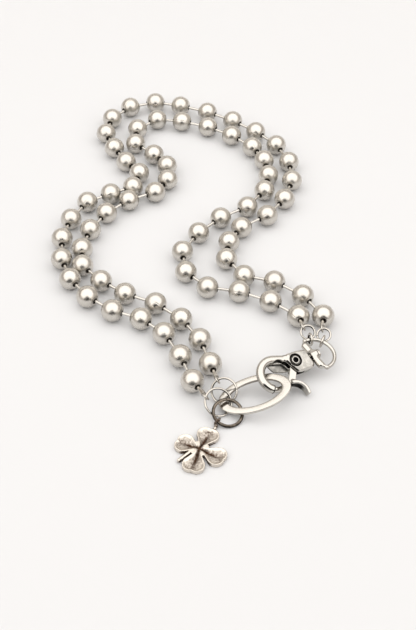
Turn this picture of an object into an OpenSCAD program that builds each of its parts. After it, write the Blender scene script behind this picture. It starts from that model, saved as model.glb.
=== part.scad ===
// A double-strand ball chain necklace with a trigger clasp, an oval ring and a four-leaf clover
// charm, lying closed on a flat surface. Millimetres, +Z up, the surface at z = 0.
// Both strands are laid out as walks: each row of a strand's table is a run of links with the
// same pitch and the same turn, so a strand bends only where its table turns it.

/* [Balls and links] */
// Outside diameter of a ball
ball_d = 8; // [7.9:0.05:8.1]
// Wall thickness of the hollow ball
ball_wall = 0.4; // [0.3:0.05:0.5]
// Diameter of the holes that the links pass through
hole_d = 1.4; // [1.3:0.05:1.5]
// Diameter of a link's shank
shank_d = 1.0; // [0.9:0.05:1.05]
// Diameter of the upset head at each end of a link
head_d = 1.7; // [1.6:0.05:1.75]
// Distance between the centres of a link's two heads
head_gap = 7.2; // [7.15:0.05:7.25]

/* [Rings] */
// Wire of the two thin jump rings at the oval ring
thin_wire = 0.8; // [0.7:0.05:0.85]
// Wire of the oxidised jump ring that carries the charm
dark_wire = 1.1; // [1:0.05:1.15]
// Half length of the oval ring
oval_a = 12.4; // [12.2:0.1:12.5]
// Half width of the oval ring
oval_b = 7.6; // [7.4:0.1:7.7]
// Width of the oval ring's band at its ends
oval_end_band = 3.1; // [2.9:0.1:3.2]
// Width of the oval ring's band along its sides
oval_side_band = 2.4; // [2.2:0.1:2.5]
// Thickness of the oval ring
oval_t = 1.2; // [1:0.1:1.2]

/* [Clasp] */
// Thickness of the clasp's round hook bar
hook_d = 3.0; // [2.8:0.1:3.1]
// Radius of the hook's bend, to the middle of the bar
hook_r = 5.3; // [5.2:0.1:5.4]
// Thickness of the clasp's body
body_t = 4.0; // [3.8:0.1:4.2]
// Thickness of the gate bar
gate_d = 2.2; // [2:0.1:2.3]
// Gap between the closed gate and the tip of the hook
gate_gap = 0.15; // [0.12:0.01:0.25]

/* [Charm] */
// Radius of each of the two lobes of a leaf
lobe_r = 2.75; // [2.65:0.05:2.8]
// Distance of a lobe's middle from its leaf's midrib
lobe_y = 1.0; // [0.9:0.05:1.05]
// Thickness of a leaf's sunk face
leaf_t = 1.0; // [0.8:0.1:1.1]
// Height of the raised rims and stem above the sunk face
relief = 0.5; // [0.3:0.1:0.6]

/* [Hidden] */
$fn = 48;

silver = "silver";
dark_silver = "dimgray";
patina = "rosybrown";

ball_r = ball_d / 2;
// Free play between two pieces that fit in each other
clear = 0.1;
// Radius of an end loop's eye, to the middle of its wire, and of the wire
eye_r = 1.2;
eye_wire_r = 0.3;
// Sleeve crimped on an end loop's shank, a neck's length short of the eye
sleeve_r = 0.85;
sleeve_length = 1.8;
sleeve_neck = 0.3;

// Where each strand starts, at the oval ring: x, y and the heading in degrees from +X
outer_start = [0.8, -65.8, 102];
inner_start = [6.8, -57.8, 91];

// Runs of the outer strand: links, pitch, turn to the left at each link
outer_runs = [
    [2, 12.4, 8],
    [2, 11.1, 20],
    [6, 11.8, -16],
    [1, 10.2, -31],
    [1, 9.6, -4],
    [2, 9.3, 50],
    [2, 10.9, -8],
    [4, 11.1, -31],
    [4, 12.4, -9],
    [5, 12.4, -19],
    [2, 9.8, 24],
    [2, 11.3, 40],
    [2, 12.4, -21]
];

// Runs of the inner strand: links, pitch, turn to the left at each link
inner_runs = [
    [4, 12.2, 16],
    [2, 11.3, -12],
    [1, 9.5, -36],
    [4, 11.4, -17],
    [3, 9.3, 33],
    [1, 10.8, 10],
    [3, 10.5, -48],
    [3, 11.6, -12],
    [3, 10.1, -19],
    [2, 12.4, -23],
    [2, 12.3, 14],
    [3, 11.6, 36],
    [2, 12.2, -14]
];

// One entry a link, from a table of runs
function links_of(runs) = [for (run = runs) for (i = [1:run[0]]) [run[1], run[2]]];

// Ball centres along a strand: at each link the heading turns, then the walk goes one pitch on
function walk(start, links) = [
    for (i = 0, h = start[2], p = [start[0], start[1], ball_r];
         i <= len(links);
         h = h + (i < len(links) ? links[i][1] : 0),
         p = p + (i < len(links) ? links[i][0] : 0) * [cos(h), sin(h), 0],
         i = i + 1) p
];

outer = walk(outer_start, links_of(outer_runs));
inner = walk(inner_start, links_of(inner_runs));

// Turns a vector the way rotate() does: about X, then Y, then Z
function turn_x(v, a) = [v.x, v.y * cos(a) - v.z * sin(a), v.y * sin(a) + v.z * cos(a)];
function turn_y(v, a) = [v.x * cos(a) + v.z * sin(a), v.y, v.z * cos(a) - v.x * sin(a)];
function turn_z(v, a) = [v.x * cos(a) - v.y * sin(a), v.x * sin(a) + v.y * cos(a), v.z];
function turn(v, angles) = turn_z(turn_y(turn_x(v, angles.x), angles.y), angles.z);
function unit(v) = v / norm(v);

// Where the clasp lies: its rivet's middle and its turn, with local x along the swivel's post,
// z along the rivet and the hook on the -x side
clasp_at = [34.7, -59.3, 6.4];
clasp_turn = [28, 8, 31];
function clasp_point(v) = clasp_at + turn(v, clasp_turn);

// Hook: middle of its bend, and the angles at which the straight bar and the tip begin
hook_c = [-8.6, -2.3, 0];
hook_from = 75;
hook_to = 238;
hook_bar = 5.4;

// Body outline, the corner circles of its plate: x, y, radius
body_corners = [
    [-1.8, 1.2, 1.8],
    [3.7, 0.9, 1.9],
    [4.5, -2.5, 1.8],
    [0.4, -2.3, 2.1]
];
// Chamfer along the plate's edges, and the sides of its rounded corners
body_edge = 0.6;
corner_sides = 32;
// Recessed web that closes the back of the hook's root: its corners and its faces' heights
web_corners = [[-9.2, 1.2], [-8.0, -1.0], [-4.5, -2.2], [-2.0, -2.4], [-2.0, 2.4], [-8.6, 2.8]];
web_z = [-1.9, -1.15];
// Scallop in the hook's inner edge at its root
scallop_at = [-6.4, -0.1];
scallop_r = 2.2;

// Rivet: a tube in the body's bore, each end inside a turned groove
rivet_r = 1.4;
rivet_hole_r = 0.9;
groove_r = 2.25;
groove_depth = 0.35;

// Trigger: a hub on the rivet, an arm to the gate bar, and a thumb tab bent round a centre
hub_r = 2.1;
hub_t = 1.8;
slot_gap = 0.15;
slot_reach = [8, 10];
arm_to = [-4.3, -6.5, 0];
arm_w = 2.4;
knuckle_r = 1.35;
gate_arc = 25;
tab_c = [-4.6, -11.1, 0];
tab_r = 4.35;
tab_t = 1.1;
tab_from = -16;
tab_to = 92;
tab_low = -2.4;
tab_high = 2.0;
tab_slant = 17;

// Swivel: a post from the body through the collar of a bow, on local y = post_y
post_y = 0;
post_r = 0.9;
post_head_r = 1.6;
post_head_t = 0.8;
post_play = 0.3;
collar_x = 8.0;
collar_w = 2.4;
collar_r = 1.8;
collar_bar_r = 1.3;
collar_half = 4.5;
post_hole_r = 1.2;
bow_wire_r = 0.7;
bow_r = 6.5;
bow_x = 1.3;
bow_at = clasp_point([collar_x, post_y, 0]);
bow_turn = [8, 4, 34];
function bow_point(a) = bow_at + turn([bow_x + bow_r * cos(a), bow_r * sin(a), 0], bow_turn);
function bow_way(a) = turn([-sin(a), cos(a), 0], bow_turn);

// Rings: middle, turn, radius to the middle of the wire
upper_ring = [[11.33, -69.97, 3.54], [46.2, 0, -18.4], 4.28];
lower_ring = [[9.37, -74.75, 3.26], [37.1, 0, 34.2], 4.63];
dark_ring = [[12.47, -78.39, 2.13], [18.5, 0, 26.8], 4.81];
oval_at = [21.4, -72.2, 4.5];
oval_turn = [1, -14, 10];

// A point on a ring's wire, and the wire's direction there, by the angle from the ring's x axis
function ring_point(ring, a) = ring[0] + ring[2] * turn([cos(a), sin(a), 0], ring[1]);
function ring_way(ring, a) = turn([-sin(a), cos(a), 0], ring[1]);

// End links hang on the swivel's bow at these angles, and each holds an end ring by its near side
link_wire = 0.9;
link_r = 1.9;
link_sag = 0.8;
end_wire = 0.8;
wire_step = 1.24;
function link_pull(a) = unit(turn([cos(a), sin(a), 0], bow_turn) - [0, 0, link_sag]);
function end_ring(bow_angle, angles, r) =
    [bow_point(bow_angle) + wire_step * link_pull(bow_angle) - r * turn([0, -1, 0], angles),
     angles, r];
inner_bow_angle = 69;
outer_bow_angle = 34;
inner_end = end_ring(inner_bow_angle, [34, 0, 18], 2.45);
outer_end = end_ring(outer_bow_angle, [30, 0, -13], 2.3);

// Where the four end loops hold their rings, as angles on the rings
outer_ring_eye = 132;
inner_ring_eye = 135;
outer_clasp_eye = 114;
inner_clasp_eye = 117;
outer_eyes = [ring_point(lower_ring, outer_ring_eye), ring_point(outer_end, outer_clasp_eye)];
inner_eyes = [ring_point(upper_ring, inner_ring_eye), ring_point(inner_end, inner_clasp_eye)];

// Charm: the middle of the clover and the turn of its first leaf
clover_at = [3.3, -92.9, 0.02];
clover_yaw = 65;

// Leaves: turn from the first leaf, distance of the lobes' middles along the leaf
leaves = [
    [0, 6.5],
    [89, 5.5],
    [189, 6.9],
    [265, 6.5]
];
// Rims, the round web that joins the leaves, and the vein cut into each leaf's sunk face
rim_w = 0.6;
web_r = 3.2;
vein_w = 0.5;
vein_depth = 0.4;
vein_past_lobe = 1.3;

// Stem, beside the line through the middle along its turn; neck and eye on the dark ring
stem_turn = 224.6;
stem_from = 1.5;
stem_length = 7.0;
stem_aside = -1.38;
stem_w = 1.3;
neck_sink = 1.2;
neck_z = [0.6, 0.9];
neck_r = 0.55;
charm_eye_angle = 198;
charm_eye_r = 1.1;
charm_eye_wire_r = 0.36;

// A direction that no bar runs along, and how far a ball at the joint of two bars stands proud
bar_side = [0.3, 0.2, 1];
swell = 0.03;

// The whole is moved so that the box round it is centred on the origin
left_end = min([for (c = outer) c.x]) - ball_r;
right_end = max([for (c = outer) c.x]) + ball_r;
far_end = max([for (c = outer) c.y]) + ball_r;
near_end = clover_at.y - max([for (leaf = leaves) leaf[1]]) - lobe_r;
shift = [-(left_end + right_end) / 2, -(far_end + near_end) / 2, 0];

// Stands children up with their z axis along a direction and their x axis towards another
module aim(from, along, near) {
    z = unit(along);
    y = unit(cross(z, near));
    x = cross(y, z);
    multmatrix([
        [x.x, y.x, z.x, from.x],
        [x.y, y.y, z.y, from.y],
        [x.z, y.z, z.z, from.z],
        [0, 0, 0, 1]
    ]) children();
}

// A straight round bar between two points
module bar(from, to, r) {
    aim(from, to - from, bar_side) cylinder(r = r, h = norm(to - from));
}

module torus(r, wire_r) rotate_extrude() translate([r, 0]) circle(wire_r);

module round_ring(ring, wire) {
    translate(shift) translate(ring[0]) rotate(ring[1]) torus(ring[2], wire / 2);
}

// A hollow ball with a hole along each of its two ways; its shell starts square to both
module ball(centre, ways) {
    along = unit(ways[1]) - unit(ways[0]);
    difference() {
        translate(centre) rotate(atan2(along.y, along.x) + 90) difference() {
            sphere(ball_r);
            sphere(ball_r - ball_wall);
        }
        for (way = ways) aim(centre, way, [0, 0, 1]) cylinder(d = hole_d, h = ball_d);
    }
}

// A strand's balls; the eyes are where its two end loops go
module balls(centres, eyes) {
    last = len(centres) - 1;
    translate(shift)
    for (i = [0:last]) {
        back = i == 0 ? eyes[0] : centres[i - 1];
        on = i == last ? eyes[1] : centres[i + 1];
        ball(centres[i], [back - centres[i], on - centres[i]]);
    }
}

// A strand's straight dumbbell links, each centred between two balls
module links(centres) {
    translate(shift)
    for (i = [1:len(centres) - 1]) {
        aim((centres[i - 1] + centres[i]) / 2, centres[i] - centres[i - 1], [0, 0, 1]) {
            cylinder(d = shank_d, h = head_gap, center = true);
            for (side = [-1, 1]) translate([0, 0, side * head_gap / 2]) sphere(d = head_d);
        }
    }
}

// A head inside an end ball, a shank out of its hole with a sleeve, and an eye round a ring's wire
module end_loop(centre, eye, wire_way) {
    reach = norm(eye - centre);
    head_at = ball_r - ball_wall - head_d / 2 - clear;
    sleeve_to = reach - eye_r - sleeve_neck;
    translate(shift)
    aim(centre, eye - centre, wire_way) {
        translate([0, 0, head_at]) sphere(d = head_d);
        translate([0, 0, head_at]) cylinder(d = shank_d, h = reach - eye_r - head_at);
        translate([0, 0, sleeve_to - sleeve_length]) cylinder(r = sleeve_r, h = sleeve_length);
        translate([0, 0, reach]) rotate([0, 90, 0]) torus(eye_r, eye_wire_r);
    }
}

// A closed link round the swivel's bow and an end ring
module end_link(bow_angle) {
    pull = link_pull(bow_angle);
    middle = bow_point(bow_angle) + wire_step / 2 * pull;
    translate(shift)
    aim(middle, bow_way(bow_angle), pull) torus(link_r, link_wire / 2);
}

module outer_balls() color(silver) balls(outer, outer_eyes);
module outer_links() color(dark_silver) links(outer);
module inner_balls() color(silver) balls(inner, inner_eyes);
module inner_links() color(dark_silver) links(inner);

module outer_ring_loop() {
    color(silver) end_loop(outer[0], outer_eyes[0], ring_way(lower_ring, outer_ring_eye));
}

module outer_clasp_loop() {
    color(silver)
    end_loop(outer[len(outer) - 1], outer_eyes[1], ring_way(outer_end, outer_clasp_eye));
}

module inner_ring_loop() {
    color(silver) end_loop(inner[0], inner_eyes[0], ring_way(upper_ring, inner_ring_eye));
}

module inner_clasp_loop() {
    color(silver)
    end_loop(inner[len(inner) - 1], inner_eyes[1], ring_way(inner_end, inner_clasp_eye));
}

module upper_jump_ring() color(silver) round_ring(upper_ring, thin_wire);
module lower_jump_ring() color(silver) round_ring(lower_ring, thin_wire);
module charm_ring() color(dark_silver) round_ring(dark_ring, dark_wire);
module outer_end_ring() color(silver) round_ring(outer_end, end_wire);
module inner_end_ring() color(silver) round_ring(inner_end, end_wire);
module outer_end_link() color(silver) end_link(outer_bow_angle);
module inner_end_link() color(silver) end_link(inner_bow_angle);

// A flat oval ring, its band wider at the two ends
module oval_ring() {
    color(silver)
    translate(shift) translate(oval_at) rotate(oval_turn)
    linear_extrude(oval_t, center = true)
    difference() {
        scale([oval_a, oval_b]) circle(1);
        scale([oval_a - oval_end_band, oval_b - oval_side_band]) circle(1);
    }
}

// A heart with its point at the origin and its lobes along +x, drawn in by an inset
module heart(lobe_x, inset) {
    reach = norm([lobe_x, lobe_y]);
    half_angle = atan2(lobe_y, lobe_x) + asin(lobe_r / reach);
    touch = sqrt(reach * reach - lobe_r * lobe_r) * [cos(half_angle), sin(half_angle)];
    drawn = touch + inset * [sin(half_angle), -cos(half_angle)];
    for (side = [-1, 1]) translate([lobe_x, side * lobe_y]) circle(lobe_r - inset);
    polygon([
        [inset / sin(half_angle), 0],
        [drawn.x, -drawn.y],
        [lobe_x, -lobe_y],
        [lobe_x, lobe_y],
        drawn
    ]);
}

// The four leaves as one outline, joined by a round web
module clover_outline() {
    for (leaf = leaves) rotate(leaf[0]) heart(leaf[1], 0);
    circle(web_r);
}

// The leaves: raised rims round sunk faces, and a vein cut along each
module clover_leaves() {
    difference() {
        linear_extrude(leaf_t + relief) clover_outline();
        for (leaf = leaves) rotate(leaf[0]) {
            translate([0, 0, leaf_t]) linear_extrude(2 * relief) heart(leaf[1], rim_w);
            translate([0, -vein_w / 2, leaf_t - vein_depth])
                cube([leaf[1] + vein_past_lobe, vein_w, vein_depth + 2 * relief]);
        }
    }
}

// The four-leaf clover, its stem, and an upright eye round the dark ring
module clover_charm() {
    eye = ring_point(dark_ring, charm_eye_angle);
    wire_way = ring_way(dark_ring, charm_eye_angle);
    lobe_tip = [leaves[0][1] + lobe_r - neck_sink, -lobe_y, 0];
    neck_from = clover_at + turn(lobe_tip, [0, 0, clover_yaw]);
    neck_to = eye - charm_eye_r * unit(eye - [neck_from.x, neck_from.y, eye.z]);
    color(patina)
    translate(shift) {
        translate(clover_at) {
            rotate(clover_yaw) clover_leaves();
            rotate(stem_turn) translate([stem_from, stem_aside - stem_w / 2, 0])
                cube([stem_length, stem_w, leaf_t + relief]);
        }
        aim(eye, wire_way, neck_from - eye) torus(charm_eye_r, charm_eye_wire_r);
        bar([neck_from.x, neck_from.y, neck_z[0]], [neck_to.x, neck_to.y, neck_z[1]], neck_r);
    }
}

// Puts children into the clasp's place
module on_clasp() translate(shift) translate(clasp_at) rotate(clasp_turn) children();

// The plate between the hook and the swivel, with chamfered edges
module body_plate() {
    hull()
    for (c = body_corners) translate([c[0], c[1], 0]) {
        cylinder(r = c[2], h = body_t - 2 * body_edge, center = true, $fn = corner_sides);
        cylinder(r = c[2] - body_edge, h = body_t, center = true, $fn = corner_sides);
    }
}

// The hook, the plate with its slot and bore, and the swivel's post with its head
module clasp_body() {
    slot_t = hub_t + 2 * slot_gap;
    post_from = body_corners[1].x;
    head_from = collar_x + collar_w / 2 + post_play;
    color(silver)
    on_clasp() {
        difference() {
            union() {
                body_plate();
                translate(hook_c) rotate(hook_from) {
                    rotate_extrude(angle = hook_to - hook_from)
                        translate([hook_r, 0]) circle(d = hook_d);
                    translate([hook_r, 0, 0]) rotate([90, 0, 0]) cylinder(d = hook_d, h = hook_bar);
                }
            }
            translate([scallop_at.x, scallop_at.y, -slot_t / 2]) cylinder(r = scallop_r, h = body_t);
            cylinder(r = hub_r + slot_gap, h = slot_t, center = true);
            translate([-slot_reach.x, -slot_reach.y, -slot_t / 2])
                cube([slot_reach.x + hub_r + slot_gap, slot_reach.y, slot_t]);
            cylinder(r = rivet_r + clear, h = body_t * 2, center = true);
            for (side = [-1, 1]) translate([0, 0, side * body_t / 2])
                cylinder(r = groove_r, h = 2 * groove_depth, center = true);
        }
        translate([0, 0, web_z[0]]) linear_extrude(web_z[1] - web_z[0]) polygon(web_corners);
        translate([post_from, post_y, 0]) rotate([0, 90, 0])
            cylinder(r = post_r, h = head_from + post_head_t / 2 - post_from);
        translate([head_from, post_y, 0]) rotate([0, 90, 0])
            cylinder(r = post_head_r, h = post_head_t);
    }
}

module clasp_rivet() {
    color(silver)
    on_clasp() difference() {
        cylinder(r = rivet_r, h = body_t + clear, center = true);
        cylinder(r = rivet_hole_r, h = body_t * 2, center = true);
    }
}

// The hub, the arm, the gate bar up to the hook's tip and the bent thumb tab, as one casting.
// The tab's lower edge slants up towards its tip
module clasp_trigger() {
    gate_r = gate_d / 2;
    gate_from = hook_to + gate_gap / hook_r * 180 / PI;
    gate_to = gate_from + gate_arc;
    gate_bend = hook_c + hook_r * [cos(gate_to), sin(gate_to), 0];
    color(silver)
    on_clasp() {
        difference() {
            union() {
                cylinder(r = hub_r, h = hub_t, center = true);
                rotate(atan2(arm_to.y, arm_to.x)) translate([0, -arm_w / 2, -hub_t / 2])
                    cube([norm(arm_to), arm_w, hub_t]);
            }
            cylinder(r = rivet_r + clear, h = body_t, center = true);
        }
        translate(hook_c) rotate(gate_from)
            rotate_extrude(angle = gate_arc) translate([hook_r, 0]) circle(gate_r);
        bar(gate_bend, arm_to, gate_r);
        translate(gate_bend) rotate([0, 90, 0]) sphere(gate_r + swell);
        translate(arm_to) cylinder(r = knuckle_r, h = gate_d + clear, center = true);
        difference() {
            translate(tab_c + [0, 0, tab_low]) rotate(tab_from)
                rotate_extrude(angle = tab_to - tab_from)
                translate([tab_r - tab_t / 2, 0]) square([tab_t, tab_high - tab_low]);
            translate([tab_c.x, arm_to.y, tab_low]) rotate([-tab_slant, 0, 0])
                translate([0, 0, -tab_r]) cube([4 * tab_r, 4 * tab_r, 2 * tab_r], center = true);
        }
    }
}

// The swivel's collar, bored for the post, and its round bow
module swivel_ring() {
    color(silver)
    translate(shift) translate(bow_at) rotate(bow_turn) {
        difference() {
            union() {
                rotate([90, 0, 0]) cylinder(r = collar_bar_r, h = 2 * collar_half, center = true);
                rotate([0, 90, 0]) cylinder(r = collar_r, h = collar_w, center = true);
            }
            rotate([0, 90, 0]) cylinder(r = post_hole_r, h = collar_w * 2, center = true);
        }
        translate([bow_x, 0, 0]) rotate(-90)
            rotate_extrude(angle = 180) translate([bow_r, 0]) circle(bow_wire_r);
        for (side = [-1, 1]) {
            bar([0, side * collar_half, 0], [bow_x, side * bow_r, 0], bow_wire_r);
            translate([0, side * collar_half, 0]) sphere(collar_bar_r);
            translate([bow_x, side * bow_r, 0]) sphere(bow_wire_r + swell);
        }
    }
}

outer_balls();
outer_links();
inner_balls();
inner_links();
outer_ring_loop();
outer_clasp_loop();
inner_ring_loop();
inner_clasp_loop();
upper_jump_ring();
lower_jump_ring();
charm_ring();
clover_charm();
oval_ring();
clasp_body();
clasp_rivet();
clasp_trigger();
swivel_ring();
outer_end_ring();
outer_end_link();
inner_end_ring();
inner_end_link();
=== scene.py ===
"""A double-strand ball chain necklace with a trigger clasp, an oval ring and a clover charm.

The necklace lies closed on a pale surface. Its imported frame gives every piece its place, and
each class below makes the finished surfaces of one sub-assembly. Sizes and points are in
millimetres along the frame's axes, and become metres where a mesh is written.
"""

import logging
import math
from collections.abc import Callable, Sequence
from dataclasses import dataclass
from enum import Enum

import bpy
import numpy as np
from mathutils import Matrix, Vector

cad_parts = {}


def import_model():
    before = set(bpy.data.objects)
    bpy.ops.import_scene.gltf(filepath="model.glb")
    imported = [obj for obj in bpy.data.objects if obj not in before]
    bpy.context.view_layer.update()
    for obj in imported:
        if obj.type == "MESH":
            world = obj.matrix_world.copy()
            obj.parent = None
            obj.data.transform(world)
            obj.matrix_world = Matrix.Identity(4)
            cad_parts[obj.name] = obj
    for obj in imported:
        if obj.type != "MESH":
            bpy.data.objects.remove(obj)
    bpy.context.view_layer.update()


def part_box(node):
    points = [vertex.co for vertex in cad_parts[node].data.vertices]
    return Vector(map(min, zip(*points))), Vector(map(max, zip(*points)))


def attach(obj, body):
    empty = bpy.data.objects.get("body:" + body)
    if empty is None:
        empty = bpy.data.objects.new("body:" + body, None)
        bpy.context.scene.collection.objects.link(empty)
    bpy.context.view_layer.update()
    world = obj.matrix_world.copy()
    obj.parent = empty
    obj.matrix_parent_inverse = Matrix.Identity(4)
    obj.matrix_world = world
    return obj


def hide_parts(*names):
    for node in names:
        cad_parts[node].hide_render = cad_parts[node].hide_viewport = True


Array = np.ndarray
Field = Callable[[Array], Array]
LOG = logging.getLogger("necklace")

METRES = 0.001
UP = np.array([0.0, 0.0, 1.0])
# Points of a mesh whose millimetres agree to this many digits are one point
MERGED_DIGITS = 5
# A net is put on its surface in so many steps. A slope is measured over a share of a cell, and
# a step is never divided by less than the least squared slope.
NET_STEPS, SLOPE_SHARE, LEAST_STEEP = 3, 0.25, 0.1
# How far out from a surface its shelter is measured, in cells of its net
SHELTER_REACHES = (4, 8, 16)


class Body(Enum):
    """The two bodies of the frame that pieces ride on."""

    NECKLACE = "necklace"
    TRIGGER = "trigger"


class Slot(Enum):
    """The names of the material slots."""

    BALL = "ball"
    LINK = "link"
    RING = "ring"
    OVAL_RING = "oval_ring"
    CLASP = "clasp"
    DARK_RING = "dark_ring"
    CLOVER = "clover"


# Vectors and turns


def unit(vectors: Array) -> Array:
    """Scales vectors to length one.

    Args:
        vectors: one vector, or an array of them along its last axis.

    Returns:
        The same array with each vector divided by its length.
    """
    return vectors / np.linalg.norm(vectors, axis=-1, keepdims=True)


def turning(angles: Sequence[float]) -> Array:
    """Makes the matrix of a turn about X, then Y, then Z.

    Args:
        angles: the three angles in degrees.

    Returns:
        A 3 by 3 matrix whose columns are the turned axes.
    """
    (cx, cy, cz), (sx, sy, sz) = np.cos(np.radians(angles)), np.sin(np.radians(angles))
    about_x = np.array([[1, 0, 0], [0, cx, -sx], [0, sx, cx]])
    about_y = np.array([[cy, 0, sy], [0, 1, 0], [-sy, 0, cy]])
    about_z = np.array([[cz, -sz, 0], [sz, cz, 0], [0, 0, 1]])
    return about_z @ about_y @ about_x


def aimed(along: Array, near: Array) -> Array:
    """Makes the axes of a piece that points along a direction.

    Args:
        along: the direction of its z axis.
        near: the direction that its x axis leans towards.

    Returns:
        A 3 by 3 matrix whose columns are its x, y and z axes.
    """
    z = unit(np.asarray(along, float))
    y = unit(np.cross(z, near))
    return np.stack([np.cross(y, z), y, z], axis=1)


def facing(angle: float) -> Array:
    """Returns the direction at an angle in degrees, turned from x towards y."""
    return np.array([math.cos(math.radians(angle)), math.sin(math.radians(angle)), 0])


def wrapped(angle: Array) -> Array:
    """Returns angles in radians, brought to within half a turn of zero."""
    return (angle + np.pi) % (2 * np.pi) - np.pi


@dataclass(frozen=True)
class Place:
    """Where a piece's own axes lie in the frame."""

    middle: Array
    axes: Array

    @classmethod
    def at(cls, middle: Sequence[float], angles: Sequence[float]) -> "Place":
        """Makes a place from its middle and its turn about X, Y and Z in degrees."""
        return cls(np.asarray(middle, float), turning(angles))

    def moved(self, shift: Array) -> "Place":
        """Returns the same place, moved by a shift."""
        return Place(self.middle + shift, self.axes)

    def point(self, local: Array | Sequence[float]) -> Array:
        """Returns local points in the frame: turned by the axes, then moved to the middle."""
        return np.asarray(local, float) @ self.axes.T + self.middle

    def way(self, local: Array | Sequence[float]) -> Array:
        """Returns local directions in the frame."""
        return np.asarray(local, float) @ self.axes.T


# Shapes


@dataclass
class Shape:
    """A closed surface: its points, its four-sided faces, and how sheltered each point is."""

    points: Array
    faces: Array
    recess: Array

    def placed(self, place: Place) -> "Shape":
        """Returns the shape moved from a piece's own axes into the frame."""
        return Shape(place.point(self.points), self.faces, self.recess)

    @staticmethod
    def joined(shapes: Sequence["Shape"]) -> "Shape":
        """Joins several shapes into one.

        Args:
            shapes: the shapes, in order.

        Returns:
            One shape that holds all their points and faces.
        """
        starts = np.cumsum([0] + [len(shape.points) for shape in shapes[:-1]])
        return Shape(
            np.concatenate([shape.points for shape in shapes]),
            np.concatenate([shape.faces + start for shape, start in zip(shapes, starts)]),
            np.concatenate([shape.recess for shape in shapes]),
        )


def grid_faces(rows: int, columns: int, closed: bool) -> Array:
    """Numbers the faces between neighbouring points of a grid whose rows are rings.

    Args:
        rows: how many rows of points there are.
        columns: how many points a row has.
        closed: whether the last row meets the first.

    Returns:
        One row of four point numbers for each face. A face runs along its row, then to the
        next row, so it points outwards where rows cross columns by the left hand.
    """
    row = np.arange(rows if closed else rows - 1)[:, None]
    column = np.arange(columns)[None, :]
    next_row, next_column = (row + 1) % rows, (column + 1) % columns
    corners = [
        row * columns + column,
        row * columns + next_column,
        next_row * columns + next_column,
        next_row * columns + column,
    ]
    size = (row.size, column.size)
    return np.stack([np.broadcast_to(corner, size) for corner in corners], -1).reshape(-1, 4)


def turned_shape(radii: Array, heights: Array, recess: Array, columns: int, closed: bool) -> Shape:
    """Turns a profile about the z axis: x = r cos a, y = r sin a, z = height.

    Args:
        radii: the profile's distances from the axis, from its low end up its outer side.
        heights: the profile's heights.
        recess: how sheltered each point of the profile is.
        columns: how many points go round the axis.
        closed: whether the profile is a loop, as round a hole. An open one ends on the axis.

    Returns:
        The turned shape.
    """
    flat = radii[:, None, None] * circle_points(1.0, columns)
    high = np.broadcast_to(heights[:, None, None], (len(radii), columns, 1))
    points = np.concatenate([flat, high], axis=-1).reshape(-1, 3)
    faces = grid_faces(len(radii), columns, closed)
    return Shape(points, faces, np.repeat(recess, columns))


def swept_shape(path: Array, sides_x: Array, sides_y: Array, outline: Array,
                closed: bool) -> Shape:
    """Carries an outline along a path: point = path + u * side_x + v * side_y.

    Args:
        path: the path's points, one a row.
        sides_x: the outline's first axis at each point of the path.
        sides_y: the outline's second axis there.
        outline: the outline's u and v, the same for all points or one set for each.
        closed: whether the path is a loop. An open one is shut by shrinking its ends.

    Returns:
        The swept shape, with nothing sheltered.
    """
    outline = np.broadcast_to(outline, (len(path),) + outline.shape[-2:])
    points = (
        path[:, None, :]
        + outline[..., 0:1] * sides_x[:, None, :]
        + outline[..., 1:2] * sides_y[:, None, :]
    )
    faces = grid_faces(len(path), outline.shape[1], closed)
    return Shape(points.reshape(-1, 3), faces, np.zeros(len(path) * outline.shape[1]))


def circle_points(radius: float, sides: int) -> Array:
    """Returns the two coordinates of points round a circle, one point a row."""
    angle = np.linspace(0, 2 * np.pi, sides, endpoint=False)
    return radius * np.stack([np.cos(angle), np.sin(angle)], axis=-1)


# Fields: each gives a point's distance from a form, below zero inside it


def bar_field(points: Array, start: Array, end: Array, radius: float) -> Array:
    """Measures to a round-ended bar: the distance to its middle line less its radius.

    Args:
        points: where to measure.
        start: one end of the middle line.
        end: its other end.
        radius: the radius of the bar.

    Returns:
        The field at each point.
    """
    along = np.asarray(end, float) - start
    share = np.clip(((points - start) @ along) / (along @ along), 0, 1)
    return np.linalg.norm(points - start - share[..., None] * along, axis=-1) - radius


def arc_field(points: Array, middle: Array, bend: float, radius: float,
              span: tuple[float, float]) -> Array:
    """Measures to a round bar bent in the x-y plane.

    The nearest point of the middle line has the point's own angle round the bend, held between
    the bar's two ends. The field is the distance to it less the bar's radius.

    Args:
        points: where to measure.
        middle: the middle of the bend.
        bend: the radius of the bend.
        radius: the radius of the bar.
        span: the angles in degrees at which the bar starts and ends.

    Returns:
        The field at each point.
    """
    offset = points - middle
    centre, half = math.radians(sum(span) / 2), math.radians((span[1] - span[0]) / 2)
    angle = np.arctan2(offset[..., 1], offset[..., 0]) - centre
    angle = np.clip(wrapped(angle), -half, half) + centre
    line = np.stack([bend * np.cos(angle), bend * np.sin(angle), np.zeros_like(angle)], axis=-1)
    return np.linalg.norm(offset - line, axis=-1) - radius


def flat_ended(bar: Array, offset: Array, angle: float, past: bool) -> Array:
    """Cuts a bent bar off flat across its bend, in place of a round end.

    Args:
        bar: the bar's field.
        offset: where it is measured, from the middle of the bend.
        angle: where the cut is, in degrees.
        past: whether what lies past the cut goes, or what lies before it.

    Returns:
        The field of the bar with a flat end.
    """
    plane = offset @ facing(angle + 90)
    near = offset @ facing(angle) > 0
    return np.where(near, np.maximum(bar, plane if past else -plane), bar)


def disc_field(points: Array, radius: float, height: float, axis: int = 2) -> Array:
    """Measures to a cylinder on an axis: the larger of its side's and its ends' distances."""
    across = np.linalg.norm(np.delete(points, axis, axis=-1), axis=-1) - radius
    return np.maximum(across, np.abs(points[..., axis]) - height / 2)


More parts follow.
